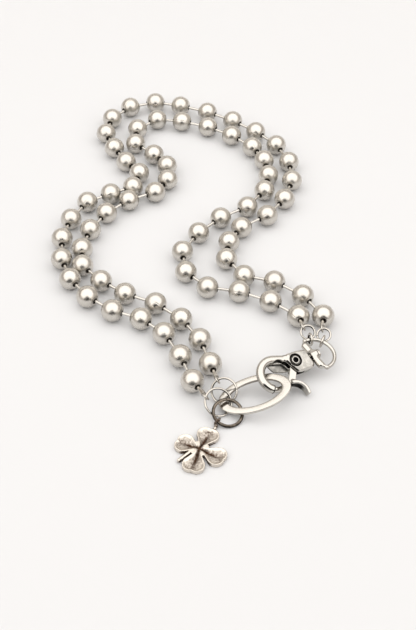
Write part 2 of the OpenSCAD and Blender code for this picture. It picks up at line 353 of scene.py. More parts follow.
def block_field(points: Array, low: Sequence[float], high: Sequence[float]) -> Array:
    """Measures to a block between two corners: the largest of its six faces' distances."""
    middle, half = (np.add(low, high)) / 2, np.subtract(high, low) / 2
    return np.max(np.abs(points - middle) - half, axis=-1)


def outline_field(points: Array, circles: Array, directions: int = 64) -> Array:
    """Measures in the x-y plane to the outline stretched round some circles.

    In each direction the outline reaches as far as the farthest circle does. The field is the
    largest, over all the directions, of a point's own distance that way less that reach.

    Args:
        points: where to measure.
        circles: x, y and radius, one circle a row.
        directions: how many directions go round.

    Returns:
        The distance at each point, below zero inside.
    """
    ways = circle_points(1.0, directions)
    reaches = (circles[:, :2] @ ways.T + circles[:, 2:]).max(0)
    farthest = np.full(points.shape[:-1], -np.inf)
    for way, reach in zip(ways, reaches):
        farthest = np.maximum(farthest, points[..., :2] @ way - reach)
    return farthest


def merged(first: Array, second: Array, blend: float) -> Array:
    """Unites two fields with a fillet, by a smooth minimum.

    Args:
        first: one field.
        second: the other field.
        blend: how wide the fillet is.

    Returns:
        The lower of the two fields, lowered a little more where they are alike.
    """
    share = np.clip(0.5 + 0.5 * (second - first) / blend, 0, 1)
    return second * (1 - share) + first * share - blend * share * (1 - share)


def cut(form: Array, tool: Array, blend: float) -> Array:
    """Takes one field out of another and rounds the edge, by a smooth maximum with its inverse."""
    return -merged(-form, tool, blend)


def net_over(field: Field, low: Sequence[float], high: Sequence[float], cell: float) -> Shape:
    """Stretches a net over the points where a field is zero.

    The field is sampled on a cubic grid. Each cell that the surface crosses gets one point, at
    the mean of the crossings on its twelve edges, and each grid edge that it crosses gets one
    face, between the four cells round it. Steps along the field's slope then put each point on
    the surface. The shelter of a point is how much less the field rises away from the surface
    than it would over a flat one, at the reach of three where that is most.

    Args:
        field: the field of the form, below zero inside.
        low: the lowest corner of a box that holds the form.
        high: its highest corner.
        cell: the grid's step.

    Returns:
        The net as a closed shape.
    """
    low = np.asarray(low, float) - 2 * cell
    counts = np.ceil((np.asarray(high, float) - low) / cell).astype(int) + 3
    axes = [low[i] + cell * np.arange(counts[i]) for i in range(3)]
    grid = np.stack(np.meshgrid(*axes, indexing="ij"), axis=-1)
    value = field(grid)
    inside = value < 0
    cells = tuple(counts - 1)
    total, hits = np.zeros(cells + (3,)), np.zeros(cells)
    crossings = []
    for axis in range(3):
        start = tuple(slice(None, -1) if i == axis else slice(None) for i in range(3))
        end = tuple(slice(1, None) if i == axis else slice(None) for i in range(3))
        crossed = inside[start] != inside[end]
        fall = np.where(crossed, value[start] - value[end], 1)
        share = np.where(crossed, value[start] / fall, 0)
        place = grid[start].copy()
        place[..., axis] += share * cell
        place *= crossed[..., None]
        crossings.append((crossed, inside[start]))
        sides = [i for i in range(3) if i != axis]
        for shift in ((0, 0), (0, 1), (1, 0), (1, 1)):
            part = [slice(None)] * 3
            for side, step in zip(sides, shift):
                part[side] = slice(step, cells[side] + step)
            total += place[tuple(part)]
            hits += crossed[tuple(part)]
    used = hits > 0
    number = np.full(cells, -1)
    number[used] = np.arange(used.sum())
    points = total[used] / hits[used][:, None]

    faces = []
    for axis, (crossed, start_inside) in enumerate(crossings):
        spot = np.argwhere(crossed)
        second, third = (axis + 1) % 3, (axis + 2) % 3
        around = []
        for step_2, step_3 in ((1, 1), (0, 1), (0, 0), (1, 0)):
            corner = spot.copy()
            corner[:, second] -= step_2
            corner[:, third] -= step_3
            around.append(number[tuple(corner.T)])
        face = np.stack(around, axis=-1)
        outward = start_inside[crossed]
        faces.append(np.where(outward[:, None], face, face[:, ::-1]))

    step = cell * SLOPE_SHARE
    for _ in range(NET_STEPS):
        slope = field_slope(field, points, step)
        steep = np.maximum(np.sum(slope * slope, -1, keepdims=True), LEAST_STEEP)
        move = -field(points)[:, None] * slope / steep
        points = points + np.clip(move, -cell / 2, cell / 2)
    normals = unit(field_slope(field, points, step))
    shelters = [1 - field(points + reach * normals) / reach
                for reach in cell * np.array(SHELTER_REACHES)]
    recess = np.clip(np.max(shelters, axis=0), 0, 1)
    return Shape(points, np.concatenate(faces), recess)


def field_slope(field: Field, points: Array, step: float) -> Array:
    """Measures how a field rises along each axis, from its values a step to either side.

    Args:
        field: the field.
        points: where to measure.
        step: how far to either side.

    Returns:
        The slope at each point, one number for each axis.
    """
    steps = step * np.eye(3)
    rises = [field(points + s) - field(points - s) for s in steps]
    return np.stack(rises, axis=-1) / (2 * step)


# Finishes


def linear(code: str) -> tuple[float, float, float, float]:
    """Turns an sRGB hex colour into linear light.

    Args:
        code: six hex digits after a hash sign.

    Returns:
        Red, green, blue and an opaque alpha.
    """
    share = np.array([int(code[i : i + 2], 16) for i in (1, 3, 5)]) / 255
    light = np.where(share <= 0.04045, share / 12.92, ((share + 0.055) / 1.055) ** 2.4)
    return (*light.tolist(), 1.0)


def add_node(tree: bpy.types.NodeTree, kind: str, inputs: dict | None = None,
             **settings: str) -> bpy.types.Node:
    """Adds one node with its settings and links.

    Args:
        tree: the tree that it goes into.
        kind: the node's type name.
        inputs: for each input's name or number, a value, or an output socket to link to it.
        **settings: attributes of the node itself.

    Returns:
        The new node.
    """
    node = tree.nodes.new(kind)
    for name, value in settings.items():
        setattr(node, name, value)
    for name, value in (inputs or {}).items():
        if isinstance(value, bpy.types.NodeSocket):
            tree.links.new(value, node.inputs[name])
        else:
            node.inputs[name].default_value = value
    return node


@dataclass(frozen=True)
class SilverFinish:
    """A silver-plated or pewter surface, bright where it is rubbed and dark where it is sheltered.

    Fields:
        name: the material's name.
        metal: the colour of the bare metal.
        oxide_and_shade: the colour of the oxide that stays in the recesses, and of the painted
            shade that some pieces carry in the same recess attribute.
        roughness: of the bare metal; where it darkens it is rougher by oxide_and_shade_rough.
        oxide_and_shade_from: how sheltered a point is before it starts to darken.
        oxide_and_shade_full: how sheltered it is where the darkening is whole.
        grain_mm: the size of the surface's finest unevenness.
        grain_depth_mm: how deep that is.
        cloud_mm: the size of the wide soft patches in its gloss.
        cloud: how strongly those patches darken open faces.
    """

    name: str
    metal: str
    oxide_and_shade: str
    roughness: float
    oxide_and_shade_rough: float
    oxide_and_shade_from: float
    oxide_and_shade_full: float
    grain_mm: float
    grain_depth_mm: float
    cloud_mm: float
    cloud: float

    def material(self) -> bpy.types.Material:
        """Makes the material.

        Returns:
            A material that mixes metal with the darker colour of oxide and painted shade by the
            mesh's recess attribute and two noises on Object coordinates.
        """
        material = bpy.data.materials.new(self.name)
        material.use_nodes = True
        tree = material.node_tree
        shader = tree.nodes["Principled BSDF"]
        place = add_node(tree, "ShaderNodeTexCoord").outputs["Object"]
        recess = add_node(tree, "ShaderNodeAttribute", attribute_name="recess").outputs["Fac"]
        cloud, grain = (
            add_node(tree, "ShaderNodeTexNoise",
                     {"Vector": place, "Scale": 1 / (size_mm * METRES), "Detail": detail,
                      "Roughness": mix}).outputs["Fac"]
            for size_mm, detail, mix in ((self.cloud_mm, 3.0, 0.6), (self.grain_mm, 4.0, 0.7)))
        uneven = add_node(
            tree, "ShaderNodeMath", {0: cloud, 1: self.cloud, 2: recess}, operation="MULTIPLY_ADD"
        ).outputs[0]
        oxide_and_shade = add_node(
            tree, "ShaderNodeMapRange",
            {
                "Value": uneven,
                "From Min": self.oxide_and_shade_from + self.cloud / 2,
                "From Max": self.oxide_and_shade_full + self.cloud / 2,
            },
            interpolation_type="SMOOTHSTEP",
        ).outputs["Result"]
        colour = add_node(
            tree, "ShaderNodeMix",
            {"Factor": oxide_and_shade, 6: linear(self.metal), 7: linear(self.oxide_and_shade)},
            data_type="RGBA",
        ).outputs[2]
        gloss = add_node(
            tree, "ShaderNodeMath",
            {0: oxide_and_shade, 1: self.oxide_and_shade_rough, 2: self.roughness}, operation="MULTIPLY_ADD",
        ).outputs[0]
        patchy = add_node(
            tree, "ShaderNodeMapRange",
            {"Value": cloud, "From Min": 0.3, "From Max": 0.7, "To Min": 0.85, "To Max": 1.15},
        ).outputs["Result"]
        rough = add_node(
            tree, "ShaderNodeMath", {0: gloss, 1: patchy}, operation="MULTIPLY").outputs[0]
        bump = add_node(
            tree, "ShaderNodeBump",
            {"Height": grain, "Strength": 1.0, "Distance": self.grain_depth_mm * METRES},
        ).outputs["Normal"]
        shader.inputs["Metallic"].default_value = 1.0
        tree.links.new(colour, shader.inputs["Base Color"])
        tree.links.new(rough, shader.inputs["Roughness"])
        tree.links.new(bump, shader.inputs["Normal"])
        return material


# Satin silver plate over rolled steel: tumbled, so its highlights are broad with soft edges
SATIN_BALL = SilverFinish(
    "satin_silver_plate", metal="#D0CCC5", oxide_and_shade="#3A342E", roughness=0.29, oxide_and_shade_rough=0.2,
    oxide_and_shade_from=0.35, oxide_and_shade_full=0.95, grain_mm=0.8, grain_depth_mm=0.018, cloud_mm=3.0,
    cloud=0.3)
# Silver plate on the links, plated with the balls: darker towards their heads, as oxide and as
# painted shade where they enter the balls
SHADED_OXIDISED_LINK = SilverFinish(
    "oxidised_and_shaded_silver_plate", metal="#CBC8C2", oxide_and_shade="#28231F", roughness=0.24,
    oxide_and_shade_rough=0.25, oxide_and_shade_from=0.4, oxide_and_shade_full=1.0, grain_mm=0.3, grain_depth_mm=0.006,
    cloud_mm=1.2, cloud=0.4)
# Bright silver plate on drawn wire: smooth, with thin sharp highlights along the wire
BRIGHT_WIRE = SilverFinish(
    "bright_silver_wire", metal="#C6C2BB", oxide_and_shade="#231E19", roughness=0.12, oxide_and_shade_rough=0.3,
    oxide_and_shade_from=0.3, oxide_and_shade_full=0.85, grain_mm=0.4, grain_depth_mm=0.004, cloud_mm=1.5,
    cloud=0.3)
# Hand-polished silver plate on a stamped band: glossy and pale, a little wavy
POLISHED_BAND = SilverFinish(
    "polished_silver_band", metal="#C9C5BE", oxide_and_shade="#5E5348", roughness=0.2, oxide_and_shade_rough=0.2,
    oxide_and_shade_from=0.25, oxide_and_shade_full=0.85, grain_mm=1.2, grain_depth_mm=0.012, cloud_mm=2.5,
    cloud=0.35)
# Antique silver plate on a zinc casting: buffed on its outer faces, black in grooves and slots.
# Its flat faces, its web and its thumb tab's hollow also carry painted shade.
CAST_SILVER = SilverFinish(
    "antique_cast_silver", metal="#C6C3BD", oxide_and_shade="#12100E", roughness=0.14, oxide_and_shade_rough=0.35,
    oxide_and_shade_from=0.28, oxide_and_shade_full=0.72, grain_mm=1.0, grain_depth_mm=0.014, cloud_mm=2.0,
    cloud=0.3)
# Blackened wire: a dull grey-brown oxide with metal showing through
BLACKENED_WIRE = SilverFinish(
    "blackened_wire", metal="#7D746A", oxide_and_shade="#241F1A", roughness=0.24, oxide_and_shade_rough=0.2,
    oxide_and_shade_from=0.2, oxide_and_shade_full=0.9, grain_mm=0.3, grain_depth_mm=0.006, cloud_mm=0.9,
    cloud=0.9)
# Antiqued pewter: cast, stippled faces that hold a brown patina between rubbed bright rims
ANTIQUE_PEWTER = SilverFinish(
    "antiqued_pewter", metal="#DAD3C9", oxide_and_shade="#4A3424", roughness=0.28, oxide_and_shade_rough=0.3,
    oxide_and_shade_from=0.02, oxide_and_shade_full=0.75, grain_mm=0.35, grain_depth_mm=0.035, cloud_mm=0.6,
    cloud=0.9)


# Pieces


def mesh_of(name: str, shape: Shape) -> bpy.types.Mesh:
    """Writes a shape into a mesh, in metres.

    Points that coincide, as where a row shrinks to one point, are merged. A face that loses one
    side by that becomes a triangle, and a face that loses more is left out.

    Args:
        name: the mesh's name.
        shape: the surface, in millimetres.

    Returns:
        A smooth-shaded mesh with a recess attribute.
    """
    keys = np.round(shape.points, MERGED_DIGITS)
    _, first, number = np.unique(keys, axis=0, return_index=True, return_inverse=True)
    number = number.reshape(-1)
    faces = number[shape.faces]
    kept = faces != np.roll(faces, 1, axis=1)
    sides = kept.sum(1)
    faces, kept, sides = faces[sides > 2], kept[sides > 2], sides[sides > 2]
    mesh = bpy.data.meshes.new(name)
    mesh.vertices.add(len(first))
    mesh.vertices.foreach_set("co", (shape.points[first] * METRES).astype(np.float32).ravel())
    mesh.loops.add(int(sides.sum()))
    mesh.loops.foreach_set("vertex_index", faces[kept].astype(np.int32))
    mesh.polygons.add(len(faces))
    mesh.polygons.foreach_set("loop_start", (np.cumsum(sides) - sides).astype(np.int32))
    mesh.polygons.foreach_set("use_smooth", np.ones(len(faces), bool))
    recess = mesh.attributes.new("recess", "FLOAT", "POINT")
    recess.data.foreach_set("value", shape.recess[first].astype(np.float32))
    mesh.update(calc_edges=True)
    return mesh


def make_piece(name: str, shape: Shape, finish: SilverFinish, node: str,
               body: Body = Body.NECKLACE) -> None:
    """Makes one finished piece that stands for a node of the frame.

    Args:
        name: the piece's name.
        shape: its surface.
        finish: its finish. A finish's material is made once and shared.
        node: the node that it replaces.
        body: the body that it rides on.
    """
    piece = bpy.data.objects.new(name, mesh_of(name, shape))
    bpy.context.scene.collection.objects.link(piece)
    piece.data.materials.append(bpy.data.materials.get(finish.name) or finish.material())
    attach(piece, body.value)
    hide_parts(node)
    LOG.info("%s: %d points, %d faces", name, len(piece.data.vertices), len(piece.data.polygons))


# Rings


@dataclass(frozen=True)
class Ring:
    """A jump ring bent from round wire, with its two cut ends meeting at a seam.

    Fields:
        middle: its middle, before the whole is centred.
        angles: its turn about X, Y and Z.
        radius: to the middle of the wire.
        wire: the wire's diameter.
        seam: the angle of the cut on the ring.
        sheltered: how sheltered the wire is all round.
        inside: how much more sheltered it is on the side towards the ring's middle.
        seam_bevel: how long the rounding at a cut end is, as a share of the wire.
        seam_end: how wide the flat of a cut end is, as a share of the wire.
    """

    middle: tuple[float, float, float]
    angles: tuple[float, float, float]
    radius: float
    wire: float
    seam: float
    sheltered: float = 0.15
    inside: float = 0.75
    seam_gap: float = 0.07
    seam_bevel: float = 0.08
    seam_end: float = 0.84
    steps: int = 96
    sides: int = 16

    def point(self, angle: float) -> Array:
        """Returns the middle of the wire at an angle in degrees."""
        return np.array(self.middle) + self.radius * turning(self.angles) @ facing(angle)

    def way(self, angle: float) -> Array:
        """Returns the direction of the wire at an angle in degrees."""
        return turning(self.angles) @ facing(angle + 90)

    def shape(self, shift: Array) -> Shape:
        """Bends the wire: a circle carried round an arc, with flat ends whose edges are rounded.

        Args:
            shift: what moves the ring into the frame.

        Returns:
            The ring as one closed shape.
        """
        half_gap = self.seam_gap / self.radius / 2
        bevel = self.seam_bevel * self.wire / self.radius
        arc = np.linspace(half_gap + bevel, 2 * np.pi - half_gap - bevel, self.steps)
        angle = np.concatenate([[half_gap, half_gap], arc, [2 * np.pi - half_gap] * 2])
        size = np.concatenate([[0, self.seam_end], np.ones(self.steps), [self.seam_end, 0]])
        angle += math.radians(self.seam)
        radial = np.stack([np.cos(angle), np.sin(angle), np.zeros_like(angle)], axis=-1)
        outline = size[:, None, None] * circle_points(self.wire / 2, self.sides)
        axis = np.broadcast_to(UP, radial.shape)
        ring = swept_shape(self.radius * radial, -radial, axis, outline, False)
        # Painted shade and oxide: the wire's side towards the ring's middle is darkened by inside.
        # Below zero, inside lightens that side instead, as a painted highlight along the inner
        # edge.
        inward = circle_points(1.0, self.sides)[:, 0]
        ring.recess = np.tile(np.clip(self.sheltered + self.inside * inward, 0, 1), len(angle))
        return ring.placed(Place.at(self.middle, self.angles).moved(shift))


@dataclass(frozen=True)
class OvalRing:
    """The flat oval ring that the clasp hooks into, with a wider band at its two ends."""

    middle: tuple[float, float, float] = (21.4, -72.2, 4.5)
    angles: tuple[float, float, float] = (1, -14, 10)
    half_length: float = 12.4
    half_width: float = 7.6
    end_band: float = 3.1
    side_band: float = 2.4
    thickness: float = 1.2
    squareness: float = 0.42
    inner_shade: float = 0.6
    steps: int = 160
    sides: int = 32

    def shape(self, shift: Array) -> Shape:
        """Carries a rounded band between an inner and an outer oval.

        Each oval is (a cos t, b sin t). The band's outline at t is a superellipse, its u from the
        inner to the outer oval and its v through the thickness, each a signed power of the cosine
        or sine of the outline's own angle.

        Args:
            shift: what moves the ring into the frame.

        Returns:
            The ring as one closed shape.
        """
        turn = np.linspace(0, 2 * np.pi, self.steps, endpoint=False)
        flat = np.stack([np.cos(turn), np.sin(turn), np.zeros_like(turn)], axis=-1)
        outer = flat * [self.half_length, self.half_width, 0]
        inner = flat * [self.half_length - self.end_band, self.half_width - self.side_band, 0]
        wave = circle_points(1.0, self.sides)
        soft = np.sign(wave) * np.abs(wave) ** self.squareness
        across = (outer - inner) / 2
        outline = soft * [1, self.thickness / 2]
        sides_y = np.broadcast_to(UP, across.shape)
        band = swept_shape((outer + inner) / 2, -across, sides_y, outline, True)
        band.recess = np.tile(self.inner_shade * np.clip(2 * wave[:, 0] - 1, 0, 1), self.steps)
        return band.placed(Place.at(self.middle, self.angles).moved(shift))


# Strands


@dataclass(frozen=True)
class Run:
    """A run of links with one pitch and one turn to the left at each."""

    links: int
    pitch: float
    turn: float


@dataclass(frozen=True)
class Strand:
    """One strand of ball chain: hollow balls, dumbbell links and an end loop at each end.

    Fields:
        name: the strand's name, which its nodes start with.
        start: x, y and the heading in degrees of its first ball, before the whole is centred.
        runs: its links in order.
        dish_width: how many degrees from a hole its dish fades.
        hole_shade, hole_shade_width: how dark a hole's rim is, and over how many degrees less.
        link_fillet: the power that rounds the corner between a head and the shank.
        head_shade: how fast a link darkens towards its heads.
    """

    name: str
    start: tuple[float, float, float]
    runs: tuple[Run, ...]
    ball_r: float = 4.0
    wall: float = 0.4
    hole_r: float = 0.7
    dish: float = 0.08
    dish_width: float = 7.0
    seam_depth: float = 0.05
    seam_width: float = 0.1
    shank_r: float = 0.56
    head_r: float = 0.85
    head_gap: float = 7.2
    eye_r: float = 1.2
    eye_wire_r: float = 0.3
    sleeve_r: float = 0.85
    sleeve_length: float = 1.8
    sleeve_neck: float = 0.3
    neck_fillet: float = 0.2
    sleeve_fillet: float = 0.1
    eye_fillet: float = 0.25
    clear: float = 0.1
    hole_shade: float = 1.1
    hole_shade_width: float = 7.0
    seam_shade: float = 0.55
    head_shade: float = 2.2
    outer_rows: int = 25
    inner_rows: int = 8
    lip_rows: int = 7
    columns: int = 30
    link_rows: int = 37
    link_columns: int = 12
    link_fillet: int = 6
    loop_cell: float = 0.1

    def centres(self) -> Array:
        """Walks along the strand: at each link the heading turns, then the walk goes a pitch on.

        Returns:
            The middles of the balls, before the whole is centred.
        """
        pitch = np.concatenate([[run.pitch] * run.links for run in self.runs])
        turn = np.concatenate([[run.turn] * run.links for run in self.runs])
        heading = np.radians(self.start[2] + np.cumsum(turn))
        steps = pitch[:, None] * np.stack([np.cos(heading), np.sin(heading)], axis=-1)
        flat = np.array(self.start[:2]) + np.concatenate([[[0, 0]], np.cumsum(steps, axis=0)])
        return np.column_stack([flat, np.full(len(flat), self.ball_r)])

    def ball_profile(self) -> tuple[Array, Array, Array]:
        """Draws the section of a ball's wall as a closed line.

        It runs over the outside from hole to hole, round a rolled lip, back along the inside and
        round the other lip. The outside is dished in at the holes, by a bell curve.

        Returns:
            For each point, its angle from the first hole, its distance from the ball's middle,
            and how sheltered it is.
        """
        lip = self.wall / 2
        middle = self.ball_r - lip
        edge = math.asin((self.hole_r + lip) / middle)
        over = np.linspace(edge, np.pi - edge, self.outer_rows)
        round_lip = np.linspace(0, np.pi, self.lip_rows)[1:-1]
        under = np.linspace(np.pi - edge, edge, self.inner_rows)
        polar = np.concatenate([
            over, np.pi - edge + lip / middle * np.sin(round_lip),
            under, edge - lip / middle * np.sin(round_lip)])
        reach = np.concatenate([
            np.full(self.outer_rows, self.ball_r), middle + lip * np.cos(round_lip),
            np.full(self.inner_rows, self.ball_r - self.wall), middle - lip * np.cos(round_lip)])
        near_hole = np.degrees(np.minimum(polar, np.pi - polar) - edge)
        reach = reach - self.dish * np.exp(-((near_hole / self.dish_width) ** 2))
        sheltered = np.clip(self.hole_shade - near_hole / self.hole_shade_width, 0, 1)
        sheltered[self.outer_rows:] = 1.0
        return polar, reach, sheltered

    def balls(self, eyes: Sequence[Array]) -> Shape:
        """Makes every ball of the strand as one array.

        A ball's two holes are seldom opposite each other. Its rows are circles round an axis
        halfway between them, and each row is turned about the bend's axis by a share of the
        bend, so that the first and last rows lie round the holes. The outside has the fine seam
        of a rolled ball, a bell curve across, and each ball is rolled about its axis at random.

        Args:
            eyes: where the strand's two end loops go.

        Returns:
            All the balls.
        """
        centres = self.centres()
        chain = np.vstack([eyes[0], centres, eyes[1]])
        back, on = unit(chain[:-2] - centres), unit(chain[2:] - centres)
        axis = unit(on - back)
        bend_axis = unit(np.cross(back, on) + 1e-6 * UP)
        side = np.cross(bend_axis, axis)
        bend = np.arctan2(np.sum(on * side, -1), np.sum(on * axis, -1))

        polar, reach, sheltered = self.ball_profile()
        angle = np.linspace(0, 2 * np.pi, self.columns, endpoint=False)
        near_seam = np.array([-2, -1, 1, 2]) * self.seam_width / self.ball_r
        angle = np.sort(np.concatenate([angle, near_seam]))
        away = wrapped(angle) * self.ball_r
        seam = self.seam_depth * np.exp(-((away / self.seam_width) ** 2))
        roll = np.random.default_rng(len(centres)).uniform(0, 2 * np.pi, len(centres))

        tilt = (2 * polar / np.pi - 1)[None, :] * bend[:, None]
        ahead = np.cos(tilt)[..., None] * axis[:, None] + np.sin(tilt)[..., None] * side[:, None]
        aside = np.cos(tilt)[..., None] * side[:, None] - np.sin(tilt)[..., None] * axis[:, None]
        spin = angle[None, :] + roll[:, None]
        across = (
            np.cos(spin)[:, None, :, None] * aside[:, :, None, :]
            + np.sin(spin)[:, None, :, None] * bend_axis[:, None, None, :]
        )
        outside = reach > self.ball_r - self.wall / 2
        radius = reach[:, None] - seam[None, :] * outside[:, None]
        points = (
            -np.cos(polar)[None, :, None, None] * ahead[:, :, None, :]
            + np.sin(polar)[None, :, None, None] * across
        ) * radius[None, :, :, None] + centres[:, None, None, :]
        rows, columns = len(polar), len(angle)
        starts = np.arange(len(centres)) * rows * columns
        faces = grid_faces(rows, columns, True) + starts[:, None, None]
        seam_dark = self.seam_shade * seam[None, :] / self.seam_depth
        recess = np.maximum(sheltered[:, None], seam_dark).reshape(-1)
        recess = np.tile(recess, len(centres))
        return Shape(points.reshape(-1, 3), faces.reshape(-1, 4), recess)

    def link(self) -> Shape:
        """Makes one dumbbell link about its own z axis.

        Its profile is a circle for each head and a straight shank between them. A fillet joins
        them: between the heads' middles, r is the root of the sum of both radii to a power.

        Returns:
            The link, with its heads sheltered.
        """
        half = self.head_gap / 2 + self.head_r
        height = half * np.sin(np.linspace(-np.pi / 2, np.pi / 2, self.link_rows))
        past = np.abs(height) - self.head_gap / 2
        head = np.sqrt(np.maximum(self.head_r**2 - past**2, 0))
        power = self.link_fillet
        waist = (head**power + self.shank_r**power) ** (1 / power)
        sheltered = np.clip(1 + self.head_shade * past / (self.head_gap / 2), 0, 1)
        radius = np.where(past < 0, waist, head)
        return turned_shape(radius, height, sheltered, self.link_columns, False)

    def links(self) -> Shape:
        """Puts a link between each two balls, along the line of their centres.

        Returns:
            All the links.
        """
        centres = self.centres()
        link = self.link()
        ahead = centres[1:] - centres[:-1]
        middles = (centres[1:] + centres[:-1]) / 2
        return Shape.joined(
            [link.placed(Place(m, aimed(a, UP))) for m, a in zip(middles, ahead)])

    def end_loop(self, centre: Array, eye: Array, wire_way: Array) -> Shape:
        """Makes an end loop: a head in the end ball, a sleeved shank and an eye round a wire.

        Args:
            centre: the middle of the end ball.
            eye: the middle of the eye.
            wire_way: the direction of the ring's wire through the eye.

        Returns:
            The loop as one fused form.
        """
        reach = float(np.linalg.norm(eye - centre))
        head_at = self.ball_r - self.wall - self.head_r - self.clear
        top = np.array([0, 0, reach])

        def field(p: Array) -> Array:
            """Unites the head, the shank, its crimped sleeve and the eye's wire with fillets.

            Args:
                p: points in the loop's own axes.

            Returns:
                The field at each point.
            """
            head = np.linalg.norm(p - [0, 0, head_at], axis=-1) - self.head_r
            shank = bar_field(p, np.array([0, 0, head_at]), top - [0, 0, self.eye_r], self.shank_r)
            middle = reach - self.eye_r - self.sleeve_neck - self.sleeve_length / 2
            sleeve = disc_field(p - [0, 0, middle], self.sleeve_r, self.sleeve_length)
            q = p - top
            eye_line = np.hypot(np.linalg.norm(q[..., 1:], axis=-1) - self.eye_r, q[..., 0])
            stalk = merged(merged(head, shank, self.neck_fillet), sleeve, self.sleeve_fillet)
            return merged(stalk, eye_line - self.eye_wire_r, self.eye_fillet)

        wide = self.eye_r + self.eye_wire_r
        low, high = [-self.head_r, -wide, head_at - self.head_r], [self.head_r, wide, reach + wide]
        loop = net_over(field, low, high, self.loop_cell)
        return loop.placed(Place(centre, aimed(eye - centre, wire_way)))

    def dress(self, shift: Array, eyes: Sequence[Array], ways: Sequence[Array]) -> None:
        """Builds the strand's four pieces.

        Args:
            shift: what moves the strand into the frame.
            eyes: where its end loops hold their rings, at its start and at its end.
            ways: the directions of the rings' wires there.
        """
        whole = Place(shift, np.eye(3))
        centres = self.centres()
        make_piece(f"{self.name}_satin_balls", self.balls(eyes).placed(whole), SATIN_BALL,
                   f"{self.name}_balls")
        make_piece(f"{self.name}_dumbbell_links", self.links().placed(whole), SHADED_OXIDISED_LINK,
                   f"{self.name}_links")
        for end, number in (("ring", 0), ("clasp", -1)):
            loop = self.end_loop(centres[number], eyes[number], ways[number])
            make_piece(f"{self.name}_{end}_end_loop", loop.placed(whole), BRIGHT_WIRE,
                       f"{self.name}_{end}_loop")


OUTER_STRAND = Strand("outer", (0.8, -65.8, 102), (
    Run(2, 12.4, 8), Run(2, 11.1, 20), Run(6, 11.8, -16), Run(1, 10.2, -31), Run(1, 9.6, -4),
    Run(2, 9.3, 50), Run(2, 10.9, -8), Run(4, 11.1, -31), Run(4, 12.4, -9), Run(5, 12.4, -19),
    Run(2, 9.8, 24), Run(2, 11.3, 40), Run(2, 12.4, -21)))
INNER_STRAND = Strand("inner", (6.8, -57.8, 91), (
    Run(4, 12.2, 16), Run(2, 11.3, -12), Run(1, 9.5, -36), Run(4, 11.4, -17), Run(3, 9.3, 33),
    Run(1, 10.8, 10), Run(3, 10.5, -48), Run(3, 11.6, -12), Run(3, 10.1, -19), Run(2, 12.4, -23),
    Run(2, 12.3, 14), Run(3, 11.6, 36), Run(2, 12.2, -14)))


# Clasp


